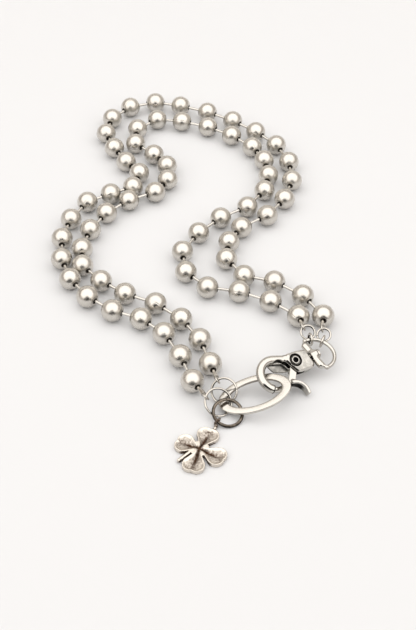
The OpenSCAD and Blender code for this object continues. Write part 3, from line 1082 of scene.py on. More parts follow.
@dataclass(frozen=True)
class TriggerClasp:
    """The cast clasp: its hooked body, tube rivet, sprung trigger, and swivelling bow.

    Fields that end in edge are the radii of rounded edges, and those that end in fillet the
    widths of the fillets where two forms meet. Those that end in shade say how dark a place is
    painted: with oxide in the groove, as a dark joint at the hook's tip, and as painted shade on
    the plate's faces, the web and the thumb tab's hollow. Those that end in box hold a form for
    its net.

    Fields:
        middle, angles: where the rivet is, before the whole is centred, and the clasp's turn.
        hook_c, hook_span, hook_bend: the middle of the hook's bend, the angles of its root and
            its tip, and its radius.
        hook_r, hook_bar: the radius of the hook's stock, and how long its straight part is.
        corners: x, y and radius of each corner of the plate.
        web, web_heights: the same for the thin web at the hook's root, and its two heights.
        slot_from: how far the slot for the trigger reaches in x and y.
        rivet_proud: how far the rivet's rolled ends stand out.
        arm_to, arm_past: where the trigger's arm leads, and how far it runs past both its ends.
        gate_gap, gate_arc: the gap from the hook's tip to the gate, and the gate's degrees.
        tab_c, tab_r, tab_t, tab_span: the thumb tab's middle, radius, wall and two angles.
        tab_heights, tab_slant: its two heights, and the slant of its lower edge.
        collar_x, post_play: where on the post the swivel's collar is, and its play there.
        collar_half: half the length of the bar through the collar.
        bow_x: how far the middle of the bow lies from that bar.
        groove_shade_in, groove_shade_half: how far inside the groove its oxide lies, and half
            its width.
        tab_shade_below: how far below the tab's rim its painted shade starts, and over how much
        it grows.
        tab_shade_round: the same in degrees round the tab.
    """

    middle: tuple[float, float, float] = (34.7, -59.3, 6.4)
    angles: tuple[float, float, float] = (28, 8, 31)
    hook_c: tuple[float, float, float] = (-8.6, -2.3, 0)
    hook_span: tuple[float, float] = (75, 238)
    hook_bend: float = 5.3
    hook_r: float = 1.495
    hook_bar: float = 5.4
    corners: tuple[tuple[float, float, float], ...] = (
        (-1.8, 1.2, 1.8), (3.7, 0.9, 1.9), (4.5, -2.5, 1.8), (0.4, -2.3, 2.1))
    body_t: float = 4.0
    body_edge: float = 0.6
    web: tuple[tuple[float, float, float], ...] = (
        (-9.2, 1.2, 0), (-8, -1, 0), (-4.5, -2.2, 0), (-2, -2.4, 0), (-2, 2.4, 0), (-8.6, 2.8, 0))
    web_heights: tuple[float, float] = (-1.9, -1.15)
    web_shade: float = 0.5
    scallop_at: tuple[float, float] = (-6.4, -0.1)
    scallop_r: float = 2.2
    hub_r: float = 2.1
    hub_t: float = 1.8
    slot_gap: float = 0.15
    slot_from: tuple[float, float] = (-8, -10)
    rivet_r: float = 1.4
    rivet_hole_r: float = 0.9
    rivet_proud: float = 0.05
    groove_r: float = 2.25
    groove_depth: float = 0.35
    arm_to: tuple[float, float, float] = (-4.3, -6.5, 0)
    arm_w: float = 2.4
    arm_past: float = 0.2
    gate_r: float = 1.1
    gate_gap: float = 0.15
    gate_arc: float = 25
    tab_c: tuple[float, float] = (-4.6, -11.1)
    tab_r: float = 4.35
    tab_t: float = 1.1
    tab_span: tuple[float, float] = (-16, 92)
    tab_heights: tuple[float, float] = (-2.4, 2.0)
    tab_slant: float = 17
    post_r: float = 0.9
    post_head_r: float = 1.6
    post_head_t: float = 0.8
    post_play: float = 0.3
    collar_x: float = 8.0
    collar_w: float = 2.4
    collar_r: float = 1.8
    collar_bar_r: float = 1.3
    collar_half: float = 4.5
    post_hole_r: float = 1.2
    bow_angles: tuple[float, float, float] = (8, 4, 34)
    bow_wire_r: float = 0.7
    bow_r: float = 6.5
    bow_x: float = 1.3
    bore_play: float = 0.1
    bore_edge: float = 0.1
    slot_edge: float = 0.25
    groove_edge: float = 0.12
    tab_edge: float = 0.35
    post_hole_edge: float = 0.12
    root_fillet: float = 0.5
    web_fillet: float = 0.2
    head_fillet: float = 0.2
    post_fillet: float = 0.35
    arm_fillet: float = 0.3
    gate_bar_fillet: float = 0.2
    gate_fillet: float = 0.6
    tab_fillet: float = 0.7
    collar_fillet: float = 0.5
    foot_fillet: float = 0.3
    bow_fillet: float = 0.6
    plate_shade: float = 0.42
    seam_shade_half: float = 0.3
    groove_shade_in: float = 0.2
    groove_shade_half: float = 0.28
    tab_shade_below: tuple[float, float] = (0.32, 0.8)
    tab_shade_round: tuple[float, float] = (-10, 60)
    rivet_rows: int = 9
    rivet_columns: int = 40
    body_box: tuple[tuple[float, float, float], ...] = ((-15.5, -9, -2.1), (11.6, 4.8, 2.1))
    trigger_box: tuple[tuple[float, float, float], ...] = ((-13.5, -12.6, -2.5), (2.2, 2.2, 2.1))
    bow_box: tuple[tuple[float, float, float], ...] = ((-1.3, -7.4, -2), (9.1, 7.4, 2))
    cell: float = 0.13

    def clasp_place(self) -> Place:
        """Returns the clasp's own axes: x along the swivel's post, z along the rivet."""
        return Place.at(self.middle, self.angles)

    def bow_place(self) -> Place:
        """Returns the bow's own axes, with its middle in the collar on the post."""
        middle = self.clasp_place().point([self.collar_x, 0, 0])
        return Place.at(middle, self.bow_angles)

    def bow_point(self, angle: float) -> Array:
        """Finds a point on the middle line of the bow's wire.

        Args:
            angle: where on the bow, in degrees.

        Returns:
            The point, before the whole is centred.
        """
        return self.bow_place().point([self.bow_x, 0, 0] + self.bow_r * facing(angle))

    def bow_way(self, angle: float) -> Array:
        """Returns the direction of the bow's wire at an angle in degrees."""
        return self.bow_place().way(facing(angle + 90))

    def body_field(self, p: Array) -> Array:
        """Measures to the body: hook and plate united, less the slot, the bore and two grooves.

        The plate is a rounded outline with its top and bottom edges chamfered. A scallop is cut
        into the hook's inner edge. The thin web at the hook's root, the swivel's post and the
        post's head are united with the rest last.

        Args:
            p: points in the clasp's own axes.

        Returns:
            The field at each point.
        """
        middle, (root, tip) = np.array(self.hook_c), self.hook_span
        bar_start = middle + self.hook_bend * facing(root)
        bar_end = bar_start + self.hook_bar * facing(root - 90)
        bend = arc_field(p, middle, self.hook_bend, self.hook_r, self.hook_span)
        bend = flat_ended(bend, p - middle, tip, True)
        hook = np.minimum(bend, bar_field(p, bar_start, bar_end, self.hook_r))

        side = outline_field(p, np.array(self.corners))
        top = np.abs(p[..., 2]) - self.body_t / 2
        bevel = (side + top + self.body_edge) * math.sqrt(0.5)
        plate = np.maximum(np.maximum(side, top), bevel)
        form = merged(hook, plate, self.root_fillet)

        slot_t, slot_r = self.hub_t + 2 * self.slot_gap, self.hub_r + self.slot_gap
        slot = np.minimum(
            disc_field(p, slot_r, slot_t),
            block_field(p, [*self.slot_from, -slot_t / 2], [slot_r, 0, slot_t / 2]))
        form = cut(form, slot, self.slot_edge)
        high = p - [*self.scallop_at, self.body_t - slot_t / 2]
        scallop = disc_field(high, self.scallop_r, 2 * self.body_t - slot_t)
        form = self.bored(cut(form, scallop, self.slot_edge), p)
        on_face = np.stack([p[..., 0], p[..., 1], np.abs(p[..., 2]) - self.body_t / 2], axis=-1)
        groove = disc_field(on_face, self.groove_r, 2 * self.groove_depth)
        form = cut(form, groove, self.groove_edge)
        low, top = self.web_heights
        rise = np.abs(p[..., 2] - (low + top) / 2) - (top - low) / 2
        web = np.maximum(outline_field(p, np.array(self.web)), rise)
        form = merged(form, web, self.web_fillet)

        start = np.array([self.corners[1][0], 0, 0])
        end = np.array([self.collar_x + self.collar_w / 2 + self.post_play, 0, 0])
        head_p = p - end - [self.post_head_t / 2, 0, 0]
        head = disc_field(head_p, self.post_head_r, self.post_head_t, axis=0)
        post = merged(bar_field(p, start, end, self.post_r), head, self.head_fillet)
        return merged(form, post, self.post_fillet)

    def bored(self, form: Array, p: Array) -> Array:
        """Returns a form with the rivet's bore cut through it along z."""
        bore = disc_field(p, self.rivet_r + self.bore_play, 2 * self.body_t)
        return cut(form, bore, self.bore_edge)

    def trigger_field(self, p: Array) -> Array:
        """Measures to the trigger: hub, arm, gate bar, and a thumb tab bent round its own middle.

        The tab is a thin wall at one distance from its middle, between two heights and two
        angles, with its edges rounded by measuring to a smaller one and adding a radius. Its
        lower edge slants up towards its tip.

        Args:
            p: points in the clasp's own axes.

        Returns:
            The field at each point.
        """
        arm_to, hook_c = np.array(self.arm_to), np.array(self.hook_c)
        hub = disc_field(p, self.hub_r, self.hub_t)
        along = unit(arm_to)
        across = np.array([-along[1], along[0], 0])
        arm_p = np.stack([p @ along, p @ across, p[..., 2]], axis=-1)
        reach = float(np.linalg.norm(arm_to)) + self.arm_past
        half_w, half_t = self.arm_w / 2, self.hub_t / 2
        arm = block_field(arm_p, [-self.arm_past, -half_w, -half_t], [reach, half_w, half_t])
        form = merged(hub, arm, self.arm_fillet)

        gate_from = self.hook_span[1] + math.degrees(self.gate_gap / self.hook_bend)
        gate_to = gate_from + self.gate_arc
        gate = arc_field(p, hook_c, self.hook_bend, self.gate_r, (gate_from, gate_to))
        gate = flat_ended(gate, p - hook_c, gate_from, False)
        bend = hook_c + self.hook_bend * facing(gate_to)
        gate = merged(gate, bar_field(p, bend, arm_to, self.gate_r), self.gate_bar_fillet)
        form = merged(form, gate, self.gate_fillet)

        edge = self.tab_edge
        q = p - [*self.tab_c, 0]
        distance = np.linalg.norm(q[..., :2], axis=-1)
        middle = math.radians(sum(self.tab_span) / 2)
        half = math.radians((self.tab_span[1] - self.tab_span[0]) / 2)
        angle = wrapped(np.arctan2(q[..., 1], q[..., 0]) - middle)
        ends = (np.abs(angle) - half) * self.tab_r + edge
        wall = np.abs(distance - self.tab_r) - self.tab_t / 2 + edge
        low, high = self.tab_heights
        slant = math.radians(self.tab_slant)
        under = (p - [0, self.arm_to[1], low]) @ np.array([0, math.sin(slant), math.cos(slant)])
        rise = np.maximum(p[..., 2] - high, -under) + edge
        box = np.stack([wall, rise, ends], axis=-1)
        tab = np.linalg.norm(np.maximum(box, 0), axis=-1) + np.minimum(box.max(-1), 0) - edge
        return self.bored(merged(form, tab, self.tab_fillet), p)

    def bow_field(self, p: Array) -> Array:
        """Measures to the swivel ring: a bored collar on a crossbar, and a round bow.

        Args:
            p: points in the bow's own axes.

        Returns:
            The field at each point.
        """
        collar = disc_field(p, self.collar_r, self.collar_w, axis=0)
        half = np.array([0, self.collar_half, 0])
        bar = bar_field(p, -half, half, self.collar_bar_r)
        hole = disc_field(p, self.post_hole_r, 2 * self.collar_w, axis=0)
        form = cut(merged(collar, bar, self.collar_fillet), hole, self.post_hole_edge)
        bow = arc_field(p, np.array([self.bow_x, 0, 0]), self.bow_r, self.bow_wire_r, (-90, 90))
        mirrored = np.stack([p[..., 0], np.abs(p[..., 1]), p[..., 2]], axis=-1)
        foot = bar_field(mirrored, half, np.array([self.bow_x, self.bow_r, 0]), self.bow_wire_r)
        return merged(form, merged(bow, foot, self.foot_fillet), self.bow_fillet)

    def blackened_and_shaded(self, p: Array, shelter: Array) -> Array:
        """Adds oxide in grooves and the slot, a dark seam at the hook's tip, and painted shade.

        Args:
            p: points of the body in the clasp's own axes.
            shelter: how sheltered they are.

        Returns:
            The shelter, raised to one in a groove, in the slot and at the tip, raised a little
            on the plate's faces as a painted dim reflection, and held even on the recessed web as
            painted shade.
        """
        near = 0.05
        depth = self.body_t / 2 - np.abs(p[..., 2])
        out = np.hypot(p[..., 0], p[..., 1])
        off_groove = np.abs(out - self.groove_r + self.groove_shade_in)
        in_groove = off_groove < self.groove_shade_half
        groove = in_groove & (depth > 0.1 * self.groove_depth)
        to_tip = (p - self.hook_c) @ facing(self.hook_span[1] + 90)
        seam = (np.abs(to_tip) < self.seam_shade_half) & (p[..., 1] < self.hook_c[1])
        # Painted reflection: the plate's flat faces are greyed, as if they mirrored something
        # dimmer than the soft box.
        plate = (depth < near) & (p[..., 0] > self.corners[0][0])
        in_slot = np.abs(p[..., 2]) < self.hub_t / 2 + self.slot_gap + near
        slot = in_slot & (out < 2 * (self.hub_r + self.slot_gap))
        # Painted shade: the recessed web under the hook is held at one even grey.
        in_web = outline_field(p, np.array(self.web)) < near
        web = in_web & (p[..., 2] < self.web_heights[1] + 2 * near)
        dark = np.maximum(1.0 * (groove | slot | seam), self.plate_shade * plate)
        return np.where(web, self.web_shade, np.maximum(shelter, dark))

    def shaded_tab_hollow(self, p: Array) -> Array:
        """Finds the painted shade in the thumb tab's hollow side, below its rubbed rim.

        It deepens downwards from the rim, and round the tab from its tip to its root.

        Args:
            p: points of the trigger in the clasp's own axes.

        Returns:
            Up to one on the side nearer to the tab's own middle, and zero elsewhere.
        """
        inward = self.tab_r - np.hypot(p[..., 0] - self.tab_c[0], p[..., 1] - self.tab_c[1])
        below = self.tab_heights[1] - p[..., 2]
        angle = np.degrees(np.arctan2(p[..., 1] - self.tab_c[1], p[..., 0] - self.tab_c[0]))
        on_tab = (p[..., 1] < self.arm_to[1]) & (inward > 0.1) & (inward < 2 * self.tab_t)
        (top, high), (tip, span) = self.tab_shade_below, self.tab_shade_round
        down = np.clip((below - top) / high, 0, 1)
        return on_tab * down * np.clip((angle - tip) / span, 0.2, 1)

    def rivet(self) -> Shape:
        """Makes the tube rivet: a loop profile round its hole, with both ends rolled round.

        Returns:
            The rivet about the clasp's z axis.
        """
        half = self.body_t / 2 + self.rivet_proud
        roll = (self.rivet_r - self.rivet_hole_r) / 2
        bend = np.linspace(0, np.pi, self.rivet_rows)
        top = half - roll + roll * np.sin(bend)
        width = self.rivet_r - roll + roll * np.cos(bend)
        radii = np.concatenate([width, width[::-1]])
        heights = np.concatenate([top, -top[::-1]])
        inner = np.clip((self.rivet_r - roll - radii) / roll, 0, 1)
        return turned_shape(radii, heights, inner, self.rivet_columns, True)

    def dress(self, shift: Array) -> None:
        """Builds the clasp's four pieces.

        Args:
            shift: what moves the clasp into the frame.
        """
        clasp, bow = self.clasp_place().moved(shift), self.bow_place().moved(shift)
        body = net_over(self.body_field, *self.body_box, self.cell)
        trigger = net_over(self.trigger_field, *self.trigger_box, self.cell)
        swivel = net_over(self.bow_field, *self.bow_box, self.cell)
        body.recess = self.blackened_and_shaded(body.points, body.recess)
        # Painted shade in the thumb tab's hollow side.
        trigger.recess = np.maximum(trigger.recess, self.shaded_tab_hollow(trigger.points))
        for name, shape, place, node, rides_on in (
            ("cast_hook_and_plate", body, clasp, "clasp_body", Body.NECKLACE),
            ("rolled_tube_rivet", self.rivet(), clasp, "clasp_rivet", Body.NECKLACE),
            ("sprung_trigger", trigger, clasp, "clasp_trigger", Body.TRIGGER),
            ("swivel_bow", swivel, bow, "swivel_ring", Body.NECKLACE),
        ):
            make_piece(name, shape.placed(place), CAST_SILVER, node, rides_on)


@dataclass(frozen=True)
class EndHardware:
    """The link and the ring that carry one strand on the swivel's bow.

    Fields:
        name: the strand's name.
        bow_angle: where on the bow the link hangs.
        angles: the turn of the end ring.
        ring_r: its radius to the middle of the wire.
        eye_angle: where on it the strand's loop holds it.
        link_sag: how far the link leads down for each millimetre that it leads outwards.
        wire_step: how far apart the middles of two wires are that hang on each other.
    """

    name: str
    bow_angle: float
    angles: tuple[float, float, float]
    ring_r: float
    eye_angle: float
    link_wire: float = 0.9
    link_r: float = 1.9
    link_sag: float = 0.8
    end_wire: float = 0.8
    wire_step: float = 1.24
    link_seam: float = 150.0
    ring_seam: float = 200.0

    def pull(self, clasp: TriggerClasp) -> Array:
        """Finds the way that the link hangs from the bow: outwards and down.

        Args:
            clasp: the clasp whose bow carries it.

        Returns:
            The direction, of length one.
        """
        out = clasp.bow_place().way(facing(self.bow_angle))
        return unit(out - self.link_sag * UP)

    def ring(self, clasp: TriggerClasp) -> Ring:
        """Places the end ring so that its near side lies in the link.

        Args:
            clasp: the clasp whose bow carries the link.

        Returns:
            The ring, before the whole is centred.
        """
        inside = clasp.bow_point(self.bow_angle) + self.wire_step * self.pull(clasp)
        middle = inside - self.ring_r * turning(self.angles) @ [0, -1, 0]
        return Ring(tuple(middle), self.angles, self.ring_r, self.end_wire, self.ring_seam)

    def dress(self, shift: Array, clasp: TriggerClasp) -> None:
        """Builds the link and the ring.

        Args:
            shift: what moves them into the frame.
            clasp: the clasp whose bow carries them.
        """
        pull = self.pull(clasp)
        middle = clasp.bow_point(self.bow_angle) + self.wire_step / 2 * pull
        loop = Ring((0, 0, 0), (0, 0, 0), self.link_r, self.link_wire, self.link_seam, steps=72)
        axes = aimed(clasp.bow_way(self.bow_angle), pull)
        link = loop.shape(np.zeros(3)).placed(Place(middle + shift, axes))
        make_piece(f"{self.name}_bow_link", link, BRIGHT_WIRE, f"{self.name}_end_link")
        make_piece(f"{self.name}_split_end_ring", self.ring(clasp).shape(shift), BRIGHT_WIRE,
                   f"{self.name}_end_ring")


# Charm


@dataclass(frozen=True)
class CloverCharm:
    """The cast four-leaf clover: heart-shaped leaves with raised rims, a stem and an eye.

    Fields that end in fillet are the widths of the fillets where two forms meet, and those that
    end in share are shares of the relief.

    Fields:
        leaves: the angle of each leaf in degrees, and how far out its lobes lie.
        lobe_r, lobe_y: the radius of a lobe, and how far it lies to the side of the midrib.
        leaf_t, relief: the thickness of the clover's base, and how high the rims rise from it.
        step_start, step_w: where inside an edge the fall from the rim starts, and its width.
        vein_past_lobe, vein_fade: how far past its lobes a leaf's vein ends, and over how much.
        face_patina, vein_patina: how dark with oxide a leaf's face and its vein are.
        eye_darkness: how dark the eye is.
        upper_patina, side_wall_shade: how much of a net's own shelter its top and sides keep. The
        sides keep more than all of it, as painted shade in the creases between the leaves.
    """

    middle: tuple[float, float, float] = (3.3, -92.9, 0.02)
    yaw: float = 65
    leaves: tuple[tuple[float, float], ...] = ((0, 6.5), (89, 5.5), (189, 6.9), (265, 6.5))
    lobe_r: float = 2.74
    lobe_y: float = 1.0
    leaf_t: float = 1.0
    relief: float = 0.5
    step_start: float = 0.2
    step_w: float = 1.02
    face_share: float = 0.7
    dip_share: float = 0.5
    web_r: float = 3.2
    vein_w: float = 0.5
    vein_depth: float = 0.4
    vein_past_lobe: float = 1.3
    vein_fade: float = 3.0
    vein_hub_r: float = 2.2
    stem_turn: float = 224.6
    stem_from: float = 1.5
    stem_length: float = 7.0
    stem_aside: float = -1.38
    stem_w: float = 1.3
    eye_angle: float = 198
    eye_r: float = 1.1
    eye_wire_r: float = 0.36
    neck_sink: float = 1.2
    neck_z: tuple[float, float] = (0.6, 0.9)
    neck_r: float = 0.55
    lobe_fillet: float = 0.3
    leaf_fillet: float = 0.1
    edge_fillet: float = 0.25
    stem_fillet: float = 0.2
    eye_fillet: float = 0.3
    neck_fillet: float = 0.35
    face_patina: float = 0.5
    vein_patina: float = 0.75
    eye_darkness: float = 0.55
    upper_patina: float = 0.6
    side_wall_shade: float = 1.2
    cell: float = 0.11

    def leaf_distance(self, along: Array, aside: Array, lobe_x: float) -> Array:
        """Measures to a heart with its point at the origin and its lobes along x.

        The heart is two round lobes and the wedge between the tangents to them from the point.

        Args:
            along: the distance along the leaf's midrib.
            aside: the distance from it, to either side.
            lobe_x: how far along it the middles of the lobes are.

        Returns:
            The distance to the heart's edge, below zero inside.
        """
        aside = np.abs(aside)
        lobe = np.hypot(along - lobe_x, aside - self.lobe_y) - self.lobe_r
        reach = math.hypot(lobe_x, self.lobe_y)
        half = math.atan2(self.lobe_y, lobe_x) + math.asin(self.lobe_r / reach)
        tangent = aside * math.cos(half) - along * math.sin(half)
        touch = math.sqrt(reach**2 - self.lobe_r**2)
        along_edge = along * math.cos(half) + aside * math.sin(half)
        wedge = np.maximum(np.maximum(tangent, along - lobe_x), along_edge - touch)
        return merged(lobe, wedge, self.lobe_fillet)

    def relief_at(self, p: Array) -> tuple[Array, Array, Array]:
        """Measures to the clover's outline, and how its top lies below its rims.

        Inside each leaf's rim the top falls in a soft step, then dips on towards the midrib,
        where a vein is cut into it. The vein is a bell curve across, from the clover's middle
        to a slow end in the lobes.

        Args:
            p: points in the clover's own axes.

        Returns:
            The distance to the outline, below zero inside, the depth of the leaves' faces below
            the rims, and the share of a vein's depth, from zero to one.
        """
        hub = np.linalg.norm(p[..., :2], axis=-1)
        outline = hub - self.web_r
        sunk, vein = np.zeros(p.shape[:-1]), np.zeros(p.shape[:-1])
        for angle, lobe_x in self.leaves:
            along, aside = p @ facing(angle), p @ facing(angle + 90)
            edge = self.leaf_distance(along, aside, lobe_x)
            outline = merged(outline, edge, self.leaf_fillet)
            inward = np.clip((-edge - self.step_start) / self.step_w, 0, 1)
            dip = np.clip(1 - np.abs(aside) / (1.2 * self.lobe_r), 0, 1)
            fall = self.relief * (self.face_share + self.dip_share * dip)
            step = inward**2 * (3 - 2 * inward) * fall
            groove = np.exp(-((aside / self.vein_w) ** 2)) * np.clip(along + 1, 0, 1)
            groove *= np.clip((lobe_x + self.vein_past_lobe - along) / self.vein_fade, 0, 1)
            near_hub = np.clip(self.vein_hub_r - hub, 0, 1)
            share = np.maximum(np.clip(1.5 * inward, 0, 1), near_hub)
            sunk, vein = np.maximum(sunk, step), np.maximum(vein, groove * share)
        return outline, sunk, vein

    def field(self, p: Array) -> Array:
        """Measures to the clover: four leaves, the round web that joins them, and the stem.

        Args:
            p: points in the clover's own axes.

        Returns:
            The field at each point.
        """
        outline, sunk, vein = self.relief_at(p)
        top = self.leaf_t + self.relief - sunk - self.vein_depth * vein
        height = np.maximum(p[..., 2] - top, -p[..., 2])
        form = cut(outline, -height, self.edge_fillet)
        turn = self.stem_turn - self.yaw
        out, side = facing(turn), facing(turn + 90)
        start = self.stem_from * out + self.stem_aside * side
        start[2] = (self.leaf_t + self.relief) / 2
        end = start + (self.stem_length - self.stem_w / 2) * out
        return merged(form, bar_field(p, start, end, self.stem_w / 2), self.stem_fillet)

    def dress(self, shift: Array, ring: Ring) -> None:
        """Builds the charm as one piece.

        Args:
            shift: what moves it into the frame.
            ring: the jump ring that carries it.
        """
        place = Place.at(self.middle, (0, 0, self.yaw))
        eye, way = ring.point(self.eye_angle), ring.way(self.eye_angle)
        root = place.point([self.leaves[0][1] + self.lobe_r - self.neck_sink, -self.lobe_y, 0])
        level = np.array([root[0], root[1], eye[2]])
        foot = eye - self.eye_r * unit(eye - level)
        axes = aimed(way, root - eye)
        start, end = place.axes.T @ (root - place.middle), place.axes.T @ (foot - place.middle)
        start[2], end[2] = self.neck_z
        to_eye = axes.T @ place.axes
        eye_at = place.axes.T @ (eye - place.middle)

        def field(p: Array) -> Array:
            """Unites the clover, its neck and its eye with fillets, over the flat underside.

            Args:
                p: points in the clover's own axes.

            Returns:
                The field at each point.
            """
            q = (p - eye_at) @ to_eye.T
            line = np.hypot(np.linalg.norm(q[..., :2], axis=-1) - self.eye_r, q[..., 2])
            bar = bar_field(p, start, end, self.neck_r)
            neck = merged(bar, line - self.eye_wire_r, self.eye_fillet)
            return np.maximum(merged(self.field(p), neck, self.neck_fillet), -p[..., 2])

        reach = max(leaf[1] for leaf in self.leaves) + self.lobe_r + 0.1
        top = self.leaf_t + self.relief + self.stem_fillet
        low = np.minimum([-reach, -reach, 0], eye_at - self.eye_r - self.eye_wire_r)
        high = np.maximum([reach, reach, top], eye_at + self.eye_r + self.eye_wire_r)
        charm = net_over(field, low, high, self.cell)
        _, sunk, vein = self.relief_at(charm.points)
        face = np.clip((sunk - 0.5 * self.relief) / (0.7 * self.relief), 0, 1)
        upper = charm.points[:, 2] > self.leaf_t / 2
        patina = np.maximum(self.face_patina * face, self.vein_patina * np.sqrt(vein)) * upper
        # The whole eye is darkened evenly.
        near_eye = np.linalg.norm(charm.points - eye_at, axis=-1) < 2 * self.eye_r
        patina[near_eye] = self.eye_darkness
        # Painted shade: the side walls are darkened beyond their own shelter, in the creases
        # between the leaves.
        kept = np.where(upper, self.upper_patina, self.side_wall_shade)
        charm.recess = np.maximum(kept * charm.recess, patina)
        make_piece("cast_clover_leaves", charm.placed(place.moved(shift)), ANTIQUE_PEWTER,
                   "clover_charm")


# Studio


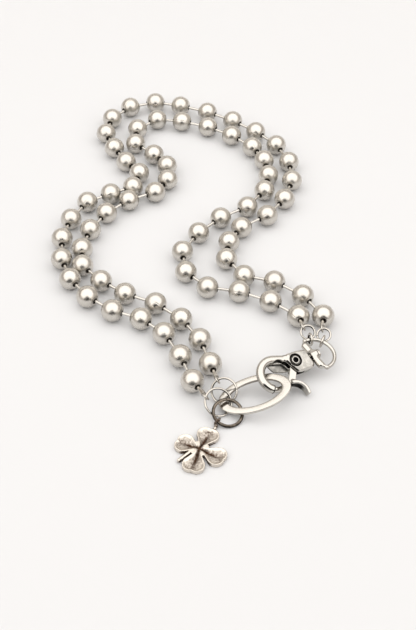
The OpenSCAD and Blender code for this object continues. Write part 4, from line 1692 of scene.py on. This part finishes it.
@dataclass(frozen=True)
class Studio:
    """The camera, the pale floor, the soft light and two cards that the balls mirror.

    Fields:
        camera_at: where the camera is, which looks ahead and down by look_down degrees.
        view_high: the height of its view, in degrees.
        flag, board: the x and z of the corners of the dark card and of the white one.
        flag_y, board_y: how far back they stand.
    """

    camera_at: tuple[float, float, float] = (7.197, -351.008, 304.9)
    look_down: float = 43.5
    view_high: float = 28.454
    sensor: float = 36.0
    floor_half: float = 3000.0
    floor_hex: str = "#D5D6D8"
    fold_scale: float = 9.0
    fold_strength: float = 0.15
    fold_depth_mm: float = 4.0
    paper_rough: float = 0.8
    card_rough: float = 0.9
    sky_hex: str = "#FFFFFE"
    wall_hex: str = "#928B84"
    wall_light: float = 1.9
    soft_box: tuple[float, float] = (4600.0, 4800.0)
    soft_box_at: tuple[float, float, float] = (0.0, -1500.0, 1000.0)
    soft_box_watts: float = 74.0
    flag: tuple[tuple[float, float], ...] = (
        (-530.0, 0.0), (530.0, 0.0), (530.0, 250.0),
        (100.0, 760.0), (-100.0, 760.0), (-530.0, 250.0))
    flag_y: float = -760.0
    flag_hex: str = "#141312"
    board: tuple[tuple[float, float], ...] = (
        (-2600.0, 0.0), (2600.0, 0.0), (2600.0, 900.0), (-2600.0, 900.0))
    board_y: float = 1300.0
    board_hex: str = "#F2F0ED"

    def build(self) -> None:
        """Sets up the camera, the floor, the light, the dim room and the two cards."""
        scene = bpy.context.scene
        lens = self.sensor / 2 / math.tan(math.radians(self.view_high / 2))
        camera = bpy.data.cameras.new("camera")
        camera.sensor_width, camera.lens = self.sensor, lens
        camera.clip_start, camera.clip_end = 0.01, 20.0
        seat = bpy.data.objects.new("camera", camera)
        seat.location = np.array(self.camera_at) * METRES
        seat.rotation_euler = (math.radians(90 - self.look_down), 0, 0)
        scene.collection.objects.link(seat)
        scene.camera = seat
        scene.view_settings.view_transform = "Standard"
        self.lights(scene)
        self.floor(scene)
        for name, colour, y, corners in (
            ("dark_felt", self.flag_hex, self.flag_y, self.flag),
            ("white_board", self.board_hex, self.board_y, self.board),
        ):
            card = self.panel(scene, f"{name}_card", [(x, y, z) for x, z in corners])
            self.paint(card, name, colour, self.card_rough)
            card.visible_camera = False

    def lights(self, scene: bpy.types.Scene) -> None:
        """Hangs one wide soft box over the necklace and dims the room round it.

        Args:
            scene: the scene to light.
        """
        light = bpy.data.lights.new("soft_box", "AREA")
        light.shape = "ELLIPSE"
        light.size, light.size_y = np.array(self.soft_box) * METRES
        light.energy = self.soft_box_watts
        light.color = linear(self.sky_hex)[:3]
        lamp = bpy.data.objects.new("soft_box", light)
        lamp.location = np.array(self.soft_box_at) * METRES
        lamp.visible_camera = False
        scene.collection.objects.link(lamp)
        world = bpy.data.worlds.new("room")
        world.use_nodes = True
        room = world.node_tree.nodes["Background"]
        room.inputs["Color"].default_value = linear(self.wall_hex)
        room.inputs["Strength"].default_value = self.wall_light
        scene.world = world

    def floor(self, scene: bpy.types.Scene) -> None:
        """Lays a wide sheet of pale paper, softly folded, under the necklace.

        Args:
            scene: where it goes.
        """
        half = self.floor_half
        corners = [(-half, -half, 0), (half, -half, 0), (half, half, 0), (-half, half, 0)]
        sheet = self.panel(scene, "floor", corners)
        tree = self.paint(sheet, "matt_paper", self.floor_hex, self.paper_rough)
        place = add_node(tree, "ShaderNodeTexCoord").outputs["Object"]
        folds = add_node(
            tree, "ShaderNodeTexNoise",
            {"Vector": place, "Scale": self.fold_scale, "Detail": 2.0}).outputs["Fac"]
        bump = add_node(
            tree, "ShaderNodeBump",
            {"Height": folds, "Strength": self.fold_strength,
             "Distance": self.fold_depth_mm * METRES}).outputs["Normal"]
        tree.links.new(bump, tree.nodes["Principled BSDF"].inputs["Normal"])

    def panel(self, scene: bpy.types.Scene, name: str,
              corners: Sequence[tuple[float, float, float]]) -> bpy.types.Object:
        """Makes one flat face that belongs to the studio and not to the necklace.

        Args:
            scene: where it goes.
            name: its name.
            corners: its corners in order, in millimetres.

        Returns:
            The face's object.
        """
        mesh = bpy.data.meshes.new(name)
        mesh.from_pydata(np.array(corners) * METRES, [], [tuple(range(len(corners)))])
        panel = bpy.data.objects.new(name, mesh)
        scene.collection.objects.link(panel)
        return panel

    def paint(self, panel: bpy.types.Object, name: str, colour: str,
              rough: float) -> bpy.types.NodeTree:
        """Gives a panel a plain colour.

        Args:
            panel: the panel.
            name: the name of its material.
            colour: its colour as a hex code.
            rough: its roughness.

        Returns:
            The material's nodes.
        """
        material = bpy.data.materials.new(name)
        material.use_nodes = True
        shader = material.node_tree.nodes["Principled BSDF"]
        shader.inputs["Base Color"].default_value = linear(colour)
        shader.inputs["Roughness"].default_value = rough
        panel.data.materials.append(material)
        return material.node_tree


def main() -> None:
    """Builds every sub-assembly in order."""
    logging.basicConfig(level=logging.INFO, format="%(name)s: %(message)s")
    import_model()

    upper_ring = Ring((11.33, -69.97, 3.54), (46.2, 0, -18.4), 4.28, 0.8, seam=20.0)
    lower_ring = Ring((9.37, -74.75, 3.26), (37.1, 0, 34.2), 4.63, 0.8, seam=235.0)
    # The blackened ring is dark all round, with the inner side of its wire left lighter as a
    # painted highlight along its inner edge.
    charm_ring = Ring((12.47, -78.39, 2.13), (18.5, 0, 26.8), 4.81, 1.1, seam=70.0,
                      sheltered=0.45, inside=-0.35)
    clasp = TriggerClasp()
    outer_end = EndHardware("outer", 34, (30, 0, -13), 2.3, 114)
    inner_end = EndHardware("inner", 69, (34, 0, 18), 2.45, 117)

    low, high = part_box("charm_ring")
    shift = (np.array(low) + np.array(high)) / 2 / METRES - charm_ring.middle

    for strand, near_ring, near_angle, end in (
        (OUTER_STRAND, lower_ring, 132, outer_end),
        (INNER_STRAND, upper_ring, 135, inner_end),
    ):
        far_ring = end.ring(clasp)
        eyes = (near_ring.point(near_angle), far_ring.point(end.eye_angle))
        ways = (near_ring.way(near_angle), far_ring.way(end.eye_angle))
        strand.dress(shift, eyes, ways)
        end.dress(shift, clasp)

    for name, ring, finish, node, slot in (
        ("upper_split_ring", upper_ring, BRIGHT_WIRE, "upper_jump_ring", Slot.RING),
        ("lower_split_ring", lower_ring, BRIGHT_WIRE, "lower_jump_ring", Slot.RING),
        ("blackened_split_ring", charm_ring, BLACKENED_WIRE, "charm_ring", Slot.DARK_RING),
        ("polished_oval_band", OvalRing(), POLISHED_BAND, "oval_ring", Slot.OVAL_RING),
    ):
        make_piece(name, ring.shape(shift), finish, node)
    clasp.dress(shift)
    CloverCharm().dress(shift, charm_ring)
    Studio().build()


if __name__ == "__main__":
    main()
